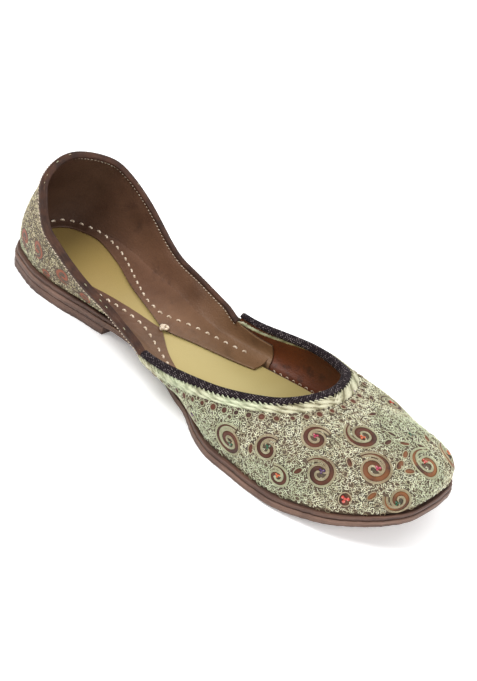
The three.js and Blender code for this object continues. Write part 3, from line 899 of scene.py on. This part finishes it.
def curls(graph, entry):
    """Three small bends of thread, strewn at random over the carrier where it is open."""
    size, thread = entry.other("Curl Size"), entry.other("Thread")
    wave = bow(graph, 6, size, (-1.15, -0.2), (-0.4, 1.5, 0.3), (0.4, -1.5, 0.3), (1.15, 0.2))
    hook = bow(graph, 6, size, (-0.7, -0.8), (-1.1, 1.5, 0.35), (1.5, 1.1, 0.35), (0.3, -0.5))
    loop = graph.add("GeometryNodeCurveArc", {"mode": "RADIUS"}, {
        "Resolution": 7, "Radius": size * 0.72, "Start Angle": 0.0, "Sweep Angle": math.radians(290)})
    shapes = [graph.add("GeometryNodeGeometryToInstance", None, {"Geometry": tube(graph, path, thread, 3)})
              for path in (wave, hook, loop)]
    pool = graph.add("GeometryNodeJoinGeometry", None, {"Geometry": shapes})
    sown = graph.add("GeometryNodeInputNamedAttribute", {"data_type": "FLOAT"}, {"Name": "sown"})
    spots = graph.add("GeometryNodeDistributePointsOnFaces", {"distribute_method": "POISSON"}, {
        "Mesh": entry, "Distance Min": entry.other("Spacing"), "Density Max": 3.0e6,
        "Density Factor": sown, "Seed": 11})
    shaded = graph.add("GeometryNodeStoreNamedAttribute", {"data_type": "FLOAT", "domain": "POINT"}, {
        "Geometry": spots, "Name": "shade", "Value": random_number(graph, 0.0, 1.0, 3)})
    spin = graph.add("FunctionNodeEulerToRotation", None, {
        "Euler": random_number(graph, (-0.16, -0.16, 0.0), (0.16, 0.16, 2 * math.pi), 5, "FLOAT_VECTOR")})
    turned = graph.add("FunctionNodeRotateRotation", {"rotation_space": "LOCAL"}, {
        "Rotation": spots.other("Rotation"), "Rotate By": spin})
    return graph.add("GeometryNodeInstanceOnPoints", None, {
        "Points": shaded, "Instance": pool, "Pick Instance": True,
        "Instance Index": random_number(graph, 0, 2, 8, "INT"), "Rotation": turned,
        "Scale": random_number(graph, 0.8, 1.2, 9)})


def set_pieces(shape):
    """A layout that puts one shape at each carrier point, by its facing, heading and size."""
    def lay_out(graph, entry):
        def stored(label, kind="FLOAT_VECTOR"):
            return graph.add("GeometryNodeInputNamedAttribute", {"data_type": kind}, {"Name": label})
        turned = graph.add("FunctionNodeAxesToRotation", {"primary_axis": "Z", "secondary_axis": "X"}, {
            "Primary Axis": stored("facing"), "Secondary Axis": stored("heading")})
        points = graph.add("GeometryNodeMeshToPoints", None, {"Mesh": entry})
        return graph.add("GeometryNodeInstanceOnPoints", None, {
            "Points": points, "Instance": shape(graph, entry), "Rotation": turned, "Scale": stored("size")})
    return lay_out


def set_row(name, points, facing, heading, size, shape, sizes, finish, slot, **more):
    """Grows one shape at each of a row of points."""
    spots = carrier(name + "_spots", points, facing=facing, heading=heading, size=size, **more)
    return grow(name, spots, set_pieces(shape), sizes, finish)


def metal_thread(name, light, mid, shadow):
    """Gilt thread: each piece takes a random tone between a painted shade colour, a mid gold and a painted
    highlight colour, with tarnished green-grey patches.
    """
    finish = Finish(name)
    shade = finish.attribute("shade")
    clouds = finish.noise(60, 3)
    twist = finish.noise(2600, 2)
    tone = shade * 0.5 + clouds * 0.3 + twist * 0.35
    # The shadow and light stops are painted shade and painted highlight, given at random over the pieces.
    colour = finish.ramp(tone, (0.25, shadow), (0.5, mid), (0.8, light))
    tinge = finish.mix(finish.fade(finish.noise(35, 2), 0.4, 0.65, 0, 0.45), colour, dye(186, 204, 168))
    return finish.done(tinge, finish.fade(twist, 0.3, 0.7, 0.42, 0.3), finish.bump(twist, 0.0001, 0.6),
                       Metallic=0.2)


# Scrolls: centre, radius, the angle at which the tail starts (from the toe's direction, seen
# from outside), turns inwards (negative turns clockwise), band width, and bead.
RED, ORANGE, MAGENTA, PURPLE, GREEN = 0.1, 0.3, 0.5, 0.7, 0.9
SCROLLS = table("x y z radius start turns band bead",
    (156, -40, 14, 5.0, 115, 1.05, 1.5, PURPLE), (180, -42, 18, 8.0, 75, 1.8, 2.0, GREEN),
    (199, -39, 26, 5.8, 78, 1.15, 1.7, GREEN), (208, -39, 17, 5.2, 125, -1.2, 1.6, ORANGE),
    (211, -23, 34, 6.6, 70, 1.3, 1.9, MAGENTA), (223, -31, 27, 7.2, 172, -1.35, 1.9, PURPLE),
    (222, -5, 37, 8.0, 190, 1.4, 2.3, ORANGE), (238, -14, 34, 8.0, 180, -1.45, 2.2, MAGENTA),
    (253, -11, 26, 6.4, 195, 1.3, 1.8, GREEN), (248, 11, 33, 8.6, 140, 1.25, 2.0, RED),
    (246, 31, 28, 7.6, 190, 1.15, 1.9, ORANGE), (210, 31, 33, 6.4, 240, -1.3, 1.6, RED),
    (228, 36, 22, 6.4, 160, 1.3, 1.7, PURPLE), (205, 38, 17, 6.8, 130, -1.4, 1.8, MAGENTA),
    (184, 36, 20, 7.4, 75, -1.7, 1.9, GREEN), (163, 34, 17, 5.0, 100, -1.1, 1.5, ORANGE))
QUARTER_SCROLLS = table("x y z radius start turns band bead",
    (19, -28, 22, 5.6, 60, 1.3, 1.6, PURPLE), (33, -33, 26, 5.4, 100, -1.2, 1.5, RED),
    (52, -31, 21, 5.0, 70, 1.2, 1.5, PURPLE), (65, -28, 16, 4.2, 110, -1.2, 1.3, ORANGE),
    (40, -29, 15, 3.6, 80, 1.1, 1.2, GREEN), (-2, -8, 26, 6.2, 120, 1.4, 1.7, ORANGE),
    (-2, 9, 34, 6.2, 60, -1.4, 1.7, MAGENTA), (4, -16, 42, 5.0, 100, -1.2, 1.5, GREEN),
    (19, 25, 22, 5.6, 100, -1.3, 1.6, RED), (34, 29, 25, 5.2, 70, 1.2, 1.5, PURPLE),
    (53, 27, 20, 4.8, 110, -1.2, 1.5, ORANGE), (68, 25, 15, 4.0, 80, 1.2, 1.3, MAGENTA))
# Bare round spots and leaves of brown leather: centre, length, width, heading.
DROPS = table("x y z long wide heading bead",
    (237, -27, 21, 3.3, 2.6, 100, RED), (232, 17, 36, 1.6, 1.4, 0, GREEN),
    (198, 13, 38.7, 1.6, 1.4, 0, PURPLE), (235, 9, 36.4, 2.6, 1.1, 60, None),
    (240, 4, 35.9, 2.6, 1.1, 120, None), (228, 8, 37, 2.2, 1.0, 20, None),
    (214, 10, 37.5, 2.4, 1.0, 80, None), (229, -20, 33, 2.2, 1.0, 150, None),
    (215, -35, 24, 2.2, 1.0, 60, None), (192, -40, 22, 2.4, 1.1, 100, None),
    (245, -20, 26, 2.4, 1.1, 70, None), (243, -3, 34, 3.0, 1.3, 110, None),
    (247, -1, 32, 2.6, 1.2, 70, None), (240, 16, 35, 2.8, 1.2, 30, None),
    (236, 24, 34, 2.6, 1.2, 150, None), (231, 2, 37, 2.6, 1.1, 100, None),
    (205, 20, 37, 2.2, 1.0, 130, None))


def grid_faces(rows, cols):
    return [(r * cols + c, r * cols + c + 1, (r + 1) * cols + c + 1, (r + 1) * cols + c)
            for r in range(rows - 1) for c in range(cols - 1)]


def spaced(skin, run, pitch, t=1.0, first=0.0, last=LENGTH):
    """Evenly spaced (side, x) along a level of a wall."""
    sides, xs = run
    keep = (xs >= first) & (xs <= last)
    sides, xs = sides[keep], xs[keep]
    line = skin(sides, xs, np.full_like(xs, t))
    so_far = walked(line)
    stops = np.arange(0.5 * pitch, so_far[-1], pitch)
    index = np.clip(np.searchsorted(so_far, stops), 1, len(xs) - 1)
    share = (stops - so_far[index - 1]) / (so_far[index] - so_far[index - 1])
    return sides[index], xs[index - 1] + share * (xs[index] - xs[index - 1])


def wall_spots(skin, sides, xs, depth, out):
    """Points at a depth below a wall's edge and a distance out, with normal and the way up."""
    t = 1 - depth / edge_rise(skin, sides, xs)[0]
    normals = normal_of(skin, sides, xs, t)
    up = unit(skin(sides, xs, np.minimum(1, t + 0.02)) - skin(sides, xs, t - 0.02))
    return skin(sides, xs, t) + normals * out, normals, up


class Cloth:
    """The leather's face, kept for laying things on it."""

    def __init__(self, skin, run, levels):
        self.grid, self.t = skin_grid(skin, run, levels, LEATHER_SINK)
        self.faces = grid_faces(*self.grid.shape[:2])
        self.tree = BVHTree.FromPolygons(self.grid.reshape(-1, 3).tolist(), self.faces)

    def lay(self, points, rise):
        """Drops points onto the face, and lifts each by its rise."""
        laid, normals = [], []
        for point, up in zip(points, np.broadcast_to(rise, len(points))):
            place, normal, _, _ = self.tree.find_nearest(Vector(point))
            laid.append(place + normal * float(up))
            normals.append(normal)
        return np.array(laid), np.array(normals)

    def frame_at(self, centre):
        """Centre on the face, its normal, and two directions along it, towards the toe first."""
        place, normal, _, _ = self.tree.find_nearest(Vector(centre))
        toe = (Vector((1, 0, 0)) - normal * normal.x).normalized()
        return np.array(place), np.array(normal), np.array(toe), np.array(normal.cross(toe))


vamp_cloth = Cloth(vamp_skin, vamp_run, 64)
quarter_cloth = Cloth(quarter_skin, quarter_run, 44)


def scroll_path(cloth, scroll, steps=64):
    """Middle line of a scroll's band, its half-width at each point, and the face's normals."""
    centre, _, toe, across = cloth.frame_at((scroll["x"], scroll["y"], scroll["z"]))
    s = np.linspace(0, 1, steps)
    angle = math.radians(scroll["start"]) + 2 * math.pi * scroll["turns"] * s
    radius = scroll["radius"] * (1 - 0.84 * s ** 0.92)
    flat = centre + (radius * np.cos(angle))[:, None] * toe + (radius * np.sin(angle))[:, None] * across
    path, normals = cloth.lay(flat, 0.0)
    tail, head = 0.25 + 0.75 * smooth(0, 0.3, s), 1 + 0.7 * smooth(0.86, 0.97, s)
    half = 0.54 * scroll["band"] * tail * head
    half = half * np.sqrt(np.clip(1 - ((s - 0.94) / 0.06).clip(0, 1) ** 2, 0.02, 1))
    return path, half, normals


def ribbon(path, half, normals, height):
    """Points and faces of a domed band along a path, with its edges on the leather."""
    beside = np.cross(normals, unit(np.gradient(path, axis=0)))
    dome = ((-1, -0.05), (-0.8, 0.7), (-0.3, 1.0), (0.3, 1.0), (0.8, 0.7), (1, -0.05), (0, -0.2))
    rows = [path + beside * (across * half)[:, None] + normals * (rise * height) for across, rise in dome]
    return np.stack(rows, 1), beside


BAND_HIGH, CORD_RISE, BEAD_RISE = 0.34, 0.3, 0.5
SCROLL_CLEAR, CORD_GAPS = 0.75, (0.25, 0.8)    # room beside a scroll, and its two cords
DROP_CLEAR, DROP_GAP = 0.3, 0.2                # the same beside a drop, with one cord
band_points, band_faces, cord_points, cord_edges = [], [], [], []
scroll_marks = []              # every bare patch: points with the half-width to keep clear
bead_rows = []


def add_band(path, half, normals, clear):
    """A bare band of leather that keeps some room clear beside it; gives the way across it."""
    rows, beside = ribbon(path, half, normals, BAND_HIGH)
    first = sum(len(p) for p in band_points)
    band_points.append(rows.reshape(-1, 3))
    band_faces.extend(tuple(first + i for i in face) for face in ring_faces(*rows.shape[:2], True))
    scroll_marks.append((path, half + clear))
    return beside


def add_cord(points):
    first = sum(len(p) for p in cord_points)
    cord_points.append(points)
    cord_edges.extend((first + i, first + i + 1) for i in range(len(points) - 1))


for cloth, scrolls in ((vamp_cloth, SCROLLS), (quarter_cloth, QUARTER_SCROLLS)):
    for scroll in scrolls:
        path, half, normals = scroll_path(cloth, scroll)
        beside = add_band(path, half, normals, SCROLL_CLEAR)
        for edge in (-1, 1):
            for gap in CORD_GAPS:
                add_cord(path + beside * (edge * (half + gap))[:, None] + normals * CORD_RISE)
        bead_rows.append((path[-5] + normals[-5] * BEAD_RISE, normals[-5], 0.55 + scroll["radius"] * 0.045,
                          scroll["bead"]))

for drop in DROPS:
    centre, normal, toe, across = vamp_cloth.frame_at((drop["x"], drop["y"], drop["z"]))
    turn = math.radians(drop["heading"])
    ahead = toe * math.cos(turn) + across * math.sin(turn)
    s = np.linspace(-1, 1, 14)
    path, normals = vamp_cloth.lay(centre + (s * drop["long"])[:, None] * ahead, 0.0)
    half = drop["wide"] * np.sqrt(np.clip(1 - s ** 2, 0.01, 1))
    out = add_band(path, half, normals, DROP_CLEAR) * (half + DROP_GAP)[:, None]
    add_cord(np.concatenate([path + out, (path - out)[::-1], (path + out)[:1]]) + normals[0] * CORD_RISE)
    if drop["bead"]:
        bead_rows.append((path[7] + normals[7] * BEAD_RISE, normals[7], min(1.3, drop["wide"] * 0.7),
                          drop["bead"]))


DOT_PITCH, DOT_DEPTH, DOT_RADIUS = 5.3, 10.2, 1.25
LOOSE_RADIUS, LOOSE_APART, LOOSE_CLEAR = 0.75, 3.9, 1.1
row_sides, row_xs = spaced(vamp_skin, vamp_run, DOT_PITCH)
row_points, row_facing, row_up = wall_spots(vamp_skin, row_sides, row_xs, DOT_DEPTH, 0.0)
scroll_marks.append((row_points, np.full(len(row_points), DOT_RADIUS)))
chance = np.random.default_rng(5)
loose_points, loose_facing = [], []
for cloth, count in ((vamp_cloth, 9000), (quarter_cloth, 4000)):
    held = np.concatenate([p for p, _ in scroll_marks])
    reach = np.concatenate([h for _, h in scroll_marks])
    spots = cloth.grid.reshape(-1, 3)
    for spot in spots[chance.integers(0, len(spots), count)]:
        if (np.linalg.norm(held - spot, axis=1) < reach + LOOSE_RADIUS + LOOSE_CLEAR).any():
            continue
        if loose_points and (np.linalg.norm(np.array(loose_points) - spot, axis=1) < LOOSE_APART).any():
            continue
        place, normal, _, _ = cloth.tree.find_nearest(Vector(spot))
        loose_points.append(np.array(place))
        loose_facing.append(np.array(normal))
loose_points, loose_facing = np.array(loose_points), np.array(loose_facing)
scroll_marks.append((loose_points, np.full(len(loose_points), LOOSE_RADIUS * 0.8)))


def scroll_leather():
    """Bare reddish-brown goatskin, smooth and a little glossy where the needle pulled it up."""
    finish = Finish("scroll_leather")
    clouds = finish.noise(90, 3)
    grain = finish.noise(1800, 3)
    place = finish.lengthways()
    toeward = finish.fade(place, 0.095, 0.122)
    heelward = finish.fade(place, -0.03, -0.06)
    colour = finish.ramp(clouds, (0.35, dye(50, 24, 14)), (0.65, dye(92, 46, 26)))
    colour = finish.mix(heelward * 0.75, colour, dye(150, 78, 48))
    colour = finish.mix(toeward * finish.fade(clouds, 0.3, 0.6), colour, dye(132, 82, 42))
    return finish.done(colour, finish.fade(grain, 0.3, 0.7, 0.6, 0.45), finish.bump(grain, 0.00015, 0.7),
                       Specular_IOR_Level=0.35)


bare_leather = scroll_leather()
make_piece("scrolls", np.concatenate(band_points), band_faces, bare_leather, crisp=70)
gilt = metal_thread("curl_thread", dye(250, 249, 222), dye(224, 221, 188), dye(148, 141, 110))
cord_thread = metal_thread("cord_thread", dye(242, 234, 208), dye(214, 202, 170), dye(140, 122, 92))


def along_path(graph, entry):
    path = graph.add("GeometryNodeMeshToCurve", None, {"Mesh": entry})
    return tube(graph, path, entry.other("Thread"), 4)


grow("scroll_cords", carrier("cords", np.concatenate(cord_points), cord_edges), along_path,
     {"Thread": CORD_THREAD}, cord_thread)

# ---- thread field ------------------------------------------------------------------------
# The couched curls themselves, thick enough that only pinholes of leather show between them.
CURL_SPACING, CURL_SIZE = 1.02, 0.74
FOOT_CLEAR = 1.4               # the thread stops this far above the wall's foot
BLOCK = 2000                   # points that are measured against the bare patches at once
mark_points = np.concatenate([p for p, _ in scroll_marks])
mark_reach = np.concatenate([h for _, h in scroll_marks])


def open_leather(points):
    """1 where curls may lie, 0 on bare scrolls, drops and dots."""
    free = np.ones(len(points))
    for start in range(0, len(points), BLOCK):
        block = points[start:start + BLOCK]
        away = np.linalg.norm(block[:, None] - mark_points[None], axis=2) - mark_reach
        free[start:start + BLOCK] = np.clip(away.min(1) / 0.5, 0, 1)
    return free


# A darker copy of the curl thread, for the quarter.
darker_gilt = metal_thread("quarter_curl_thread", dye(226, 216, 182), dye(188, 176, 138), dye(116, 102, 74))


def field(name, cloth, skin, run, side, finish, top_depth, last):
    """Curls over one side of a wall, from its foot up to a depth below the edge."""
    sides, xs = run
    grid = cloth.grid
    speed, _ = edge_rise(skin, sides, xs)
    below = (1 - cloth.t) * speed[None, :]
    clear = (below > top_depth) & (cloth.t * speed[None, :] > FOOT_CLEAR)
    clear &= xs[None, :] <= last
    sown = open_leather(grid.reshape(-1, 3)) * clear.ravel()
    half = [f for f in cloth.faces if sides[f[0] % len(xs)] == side]
    base = carrier(name, grid.reshape(-1, 3), (), half, sown=sown)
    return grow(name, base, curls, {"Spacing": CURL_SPACING, "Curl Size": CURL_SIZE, "Thread": THREAD},
                finish)


for side, word in ((LATERAL, "outer"), (MEDIAL, "inner")):
    field("vamp_thread_" + word, vamp_cloth, vamp_skin, vamp_run, side, gilt, BORDER_DEPTH, LENGTH)
for side, word in ((LATERAL, "outer"), (MEDIAL, "inner")):
    field("quarter_thread_" + word, quarter_cloth, quarter_skin, quarter_run, side, darker_gilt,
          COLLAR_DEPTH, WING_START + 2)

# ---- satin border ------------------------------------------------------------------------
# Long slanting satin stitches of brighter gold thread, side by side under the braid and
# biting into its edge like a comb; a narrower row shows inside the wings.
SATIN_PITCH, SATIN_LONG, SATIN_THREAD = 0.78, 6.0, 0.3


def stitch(steps, sink, lean, rise, sides):
    """A bowed stitch: its ends sink and its middle rises, both as parts of its length."""
    def shape(graph, entry):
        path = bow(graph, steps, entry.other("Stitch Length"),
                   (-0.5, 0, -sink), (-lean, 0, rise), (lean, 0, rise), (0.5, 0, -sink))
        return tube(graph, path, entry.other("Thread"), sides)
    return shape


def satin_row(sides, xs, depth, out, slant, long):
    """Stitches along the vamp's edge that slant by so many degrees, with a little wobble."""
    points, normals, up = wall_spots(vamp_skin, sides, xs, depth, out)
    along = np.cross(up, normals)
    wobble = 1 + 0.18 * np.sin(np.arange(len(xs)) * 2.4) * np.sin(np.arange(len(xs)) * 0.37)
    turn = np.radians(slant) * wobble
    heading = along * (np.cos(turn) * sides)[:, None] + up * np.sin(turn)[:, None]
    size = np.stack([long / SATIN_LONG * wobble, np.ones(len(xs)), np.ones(len(xs))], 1)
    return points, normals, heading, size


def join_rows(rows):
    return [np.concatenate(part) for part in zip(*rows)]


sides, xs = spaced(vamp_skin, vamp_run, SATIN_PITCH)
every_third = (np.arange(len(xs)) % 3 == 0)
rows = [
    satin_row(sides, xs, 4.9, 0.3, 30, SATIN_LONG),
    satin_row(sides, xs, 6.6, 0.1, 24, SATIN_LONG * 0.85),
    satin_row(sides[every_third], xs[every_third], 3.7, 0.8, 42, SATIN_LONG * 0.4),
    satin_row(sides, xs, 3.2, -VAMP_WALL - 0.15, -30, SATIN_LONG * 0.7),
]
points, facing, heading, size = join_rows(rows)
facing[-len(xs):] *= -1        # the last row lies inside
satin = metal_thread("satin_thread", dye(208, 204, 176), dye(150, 143, 110), dye(72, 62, 42))
set_row("satin_border", points, facing, heading, size, stitch(5, 0.05, 0.35, 0.07, 5),
        {"Stitch Length": SATIN_LONG, "Thread": SATIN_THREAD}, satin, "gold_thread",
        shade=np.abs(np.sin(np.arange(len(points)) * 12.9)))

# ---- brown dots, rings and beads ---------------------------------------------------------
# A row of small bare dots, each ringed with thread, follows the border; faceted beads are sewn
# at the middle of the scrolls.
def knob(facets):
    return lambda graph, entry: graph.add("GeometryNodeMeshIcoSphere", None, {
        "Radius": entry.other("Radius"), "Subdivisions": facets})


def ring(graph, entry):
    return tube(graph, circle(graph, entry.other("Radius"), 10), entry.other("Thread"), 3)


def any_way(facing):
    """A heading for what is round, so that only its facing counts."""
    return np.asarray(facing)[:, [1, 2, 0]]


uneven = 1 + 0.15 * np.sin(np.arange(len(row_xs)) * 1.7)
dot_size = np.stack([uneven, uneven, np.full(len(row_xs), 0.32)], 1)
set_row("dots", row_points + row_facing * 0.1, row_facing, row_up, dot_size, knob(2),
        {"Radius": DOT_RADIUS}, bare_leather, "embroidered_upper")
ring_points = np.concatenate([row_points, loose_points])
ring_facing = np.concatenate([row_facing, loose_facing])
loose_wide = 0.7 * (1 + 0.2 * np.sin(np.arange(len(loose_points)) * 2.3))
ring_wide = np.concatenate([uneven, loose_wide])
set_row("dot_rings", ring_points + ring_facing * 0.15, ring_facing, any_way(ring_facing),
        np.stack([ring_wide, ring_wide, np.ones(len(ring_wide))], 1), ring,
        {"Radius": DOT_RADIUS + 0.2, "Thread": 0.24}, cord_thread, "gold_thread")


def bead_glass():
    """Dyed glass in five colours, each told by the bead's own number."""
    finish = Finish("bead_glass")
    tint = finish.attribute("tint")
    ramp = finish.add("ShaderNodeValToRGB", {"stops": (
        (0.0, dye(188, 48, 28)), (0.2, dye(206, 96, 44)), (0.4, dye(176, 38, 80)),
        (0.6, dye(66, 32, 92)), (0.8, dye(20, 88, 56)))}, {"Fac": tint})
    ramp.socket.node.color_ramp.interpolation = "CONSTANT"
    swirl = finish.noise(900, 2)
    colour = finish.mix(finish.fade(swirl, 0.45, 0.7, 0, 0.35), ramp, dye(250, 220, 210))
    return finish.done(colour, finish.fade(swirl, 0.3, 0.7, 0.12, 0.22), Specular_IOR_Level=0.6)


centres, normals, radii, tints = (np.array(part, float) for part in zip(*bead_rows))
spots, spot_faces, spot_size, spot_tint = [], [], [], []
for centre, normal, radius, tint in zip(centres, normals, radii, tints):
    beside = unit(np.cross(normal, (0.3, 0.8, 0.5)))
    for turn, share in ((0.0, 0.0), (0.4, 1.0), (2.2, 1.0), (4.3, 1.0)):
        other = np.cross(normal, beside)
        spots.append(centre + share * radius * (math.cos(turn) * beside + math.sin(turn) * other))
        spot_faces.append(normal)
        spot_size.append(radius * (0.85 if share else 0.7) * np.array([1, 1, 0.6]))
        spot_tint.append(tint)
set_row("beads", spots, spot_faces, any_way(spot_faces), spot_size, knob(1), {"Radius": 0.8}, bead_glass(),
        "beads", tint=spot_tint)

# ---- lacing ------------------------------------------------------------------------------
# Thick cream cotton that laces the turned-in lining to the sole: short stitches show in a row
# round the seat, and the ends are knotted where the free edges meet.
LACE_PITCH, LACE_LONG, LACE_THREAD, LACE_RISE = 5.0, 1.8, 0.48, 0.12
# Plan of the row: distance from heel, half-widths.
LACING = table("x lateral medial",
    (2.5, 0, 0), (5, 10, 10), (12, 17.5, 17), (26, 22, 21.5), (38, 21, 20), (50, 18, 15.5),
    (65, 15.5, 8.5), (80, 13, 3.0), (88, 12, 2.6), (94, 12.5, 6), (103, 15, 12), (134, 25, 26))
lace_lateral, lace_medial = column(LACING, "lateral"), column(LACING, "medial")
flange_tree = BVHTree.FromPolygons(grids[0].reshape(-1, 3).tolist(), grid_faces(*grids[0].shape[:2]))
lace_side, lace_x = round_run(np.linspace(LACING[-1]["x"], LACING[0]["x"], 700))
lace_y = lace_side * np.where(lace_side < 0, lace_lateral(lace_x), lace_medial(lace_x))
so_far = walked(np.stack([lace_x, lace_y], 1))
stops = np.arange(2, so_far[-1], LACE_PITCH)
lace_plan = np.stack([np.interp(stops, so_far, lace_x), np.interp(stops, so_far, lace_y)], 1)
spots, facing, heading = [], [], []
ABOVE, DOWN = 60, Vector((0, 0, -1))
for (px, py), (qx, qy) in zip(lace_plan[:-1], lace_plan[1:]):
    place, normal, _, _ = flange_tree.ray_cast(Vector((px, py, ABOVE)), DOWN)
    if place is None:
        continue
    normal = normal if normal.z > 0 else -normal
    spots.append(np.array(place + normal * LACE_RISE))
    facing.append(np.array(normal))
    heading.append(np.array([qx - px, qy - py, 0.0]))


round_stitch = stitch(8, 0.35, 0.4, 0.35, 8)


def cotton():
    finish = Finish("cotton_thread")
    lint = finish.noise(1400, 3)
    plies = finish.waves(finish.stretched((1, 1, 1), (0.4, 0.3, 0.8)), 420, 2.0, 2)
    colour = finish.ramp(plies * 0.5 + lint * 0.5, (0.25, dye(176, 152, 126)), (0.7, dye(238, 222, 200)))
    height = plies * 0.6 + lint * 0.4
    return finish.done(colour, finish.fade(lint, 0.3, 0.7, 0.9, 0.75), finish.bump(height, 0.0002, 0.8),
                       Sheen_Weight=0.2)


cotton_white = cotton()
set_row("lacing", spots, facing, heading, np.ones((len(spots), 3)), round_stitch,
        {"Stitch Length": LACE_LONG, "Thread": LACE_THREAD}, cotton_white, "cotton_thread")

KNOT = Vector((97.5, -4.2, 0.0))
KNOT_LONG, KNOT_WIDE, KNOT_HIGH, KNOT_THREAD = 2.4, 1.2, 0.7, 0.66
u = np.linspace(0, 2 * math.pi, 49)
knot_z = FLANGE_BOTTOM + FLANGE_THICK + float(lift(np.array(KNOT.x))) + KNOT_THREAD + 0.35
trefoil = np.stack([KNOT.x + KNOT_LONG * 0.55 * np.sin(2 * u) * np.cos(0.35) + 0.6 * np.sin(u),
                    KNOT.y + KNOT_WIDE * np.sin(3 * u) * 0.5 + KNOT_LONG * 0.62 * np.cos(u),
                    knot_z + KNOT_HIGH * 0.5 * np.cos(3 * u)], 1)
knot_edges = [(i, i + 1) for i in range(len(u) - 1)]
grow("lacing_knot", carrier("knot_path", trefoil, knot_edges), lambda graph, entry: tube(
    graph, graph.add("GeometryNodeMeshToCurve", None, {"Mesh": entry}), entry.other("Thread"), 8),
    {"Thread": KNOT_THREAD}, cotton_white)

# ---- fine seams --------------------------------------------------------------------------
# Fine pale machine stitches hold the quarter's binding inside and out; small hand stitches join
# the vamp's lining to the insole's edge.
FINE_LONG, FINE_THREAD, COLLAR_PITCH, HAND_PITCH = 1.15, 0.17, 1.9, 3.6
sides, xs = spaced(quarter_skin, collar_run, COLLAR_PITCH)
rows = []
for depth, out in ((COLLAR_INSIDE + 0.7, -QUARTER_WALL - 0.16),
                   (COLLAR_DEPTH - 0.7, GAP + BINDING_THICK + 0.2)):
    points, normals, up = wall_spots(quarter_skin, sides, xs, depth, out)
    flip = -1 if out < 0 else 1
    rows.append((points, normals * flip, np.cross(up, normals), np.ones((len(xs), 3))))
sides, xs = spaced(vamp_skin, vamp_run, HAND_PITCH, 0.0, 140)
rim, _, _ = wall_spots(vamp_skin, sides, xs, 0.0, 0.0)
foot_x, foot_y, _, _ = plan_point(feather_half, sides, xs, 0, LENGTH, -VAMP_WALL - 0.9)
seam = np.stack([foot_x, foot_y, INSOLE_BOTTOM + INSOLE_THICK + lift(foot_x) + 0.25], 1)
inward = np.stack([foot_x - rim[:, 0], foot_y - rim[:, 1], np.zeros(len(xs))], 1)
rows.append((seam, np.tile([0.0, 0.0, 1.0], (len(xs), 1)), inward, np.tile([1.2, 1.0, 1.0], (len(xs), 1))))
points, facing, heading, size = join_rows(rows)
set_row("fine_stitches", points, facing, heading, size, round_stitch,
        {"Stitch Length": FINE_LONG, "Thread": FINE_THREAD}, cotton_white, "cotton_thread")
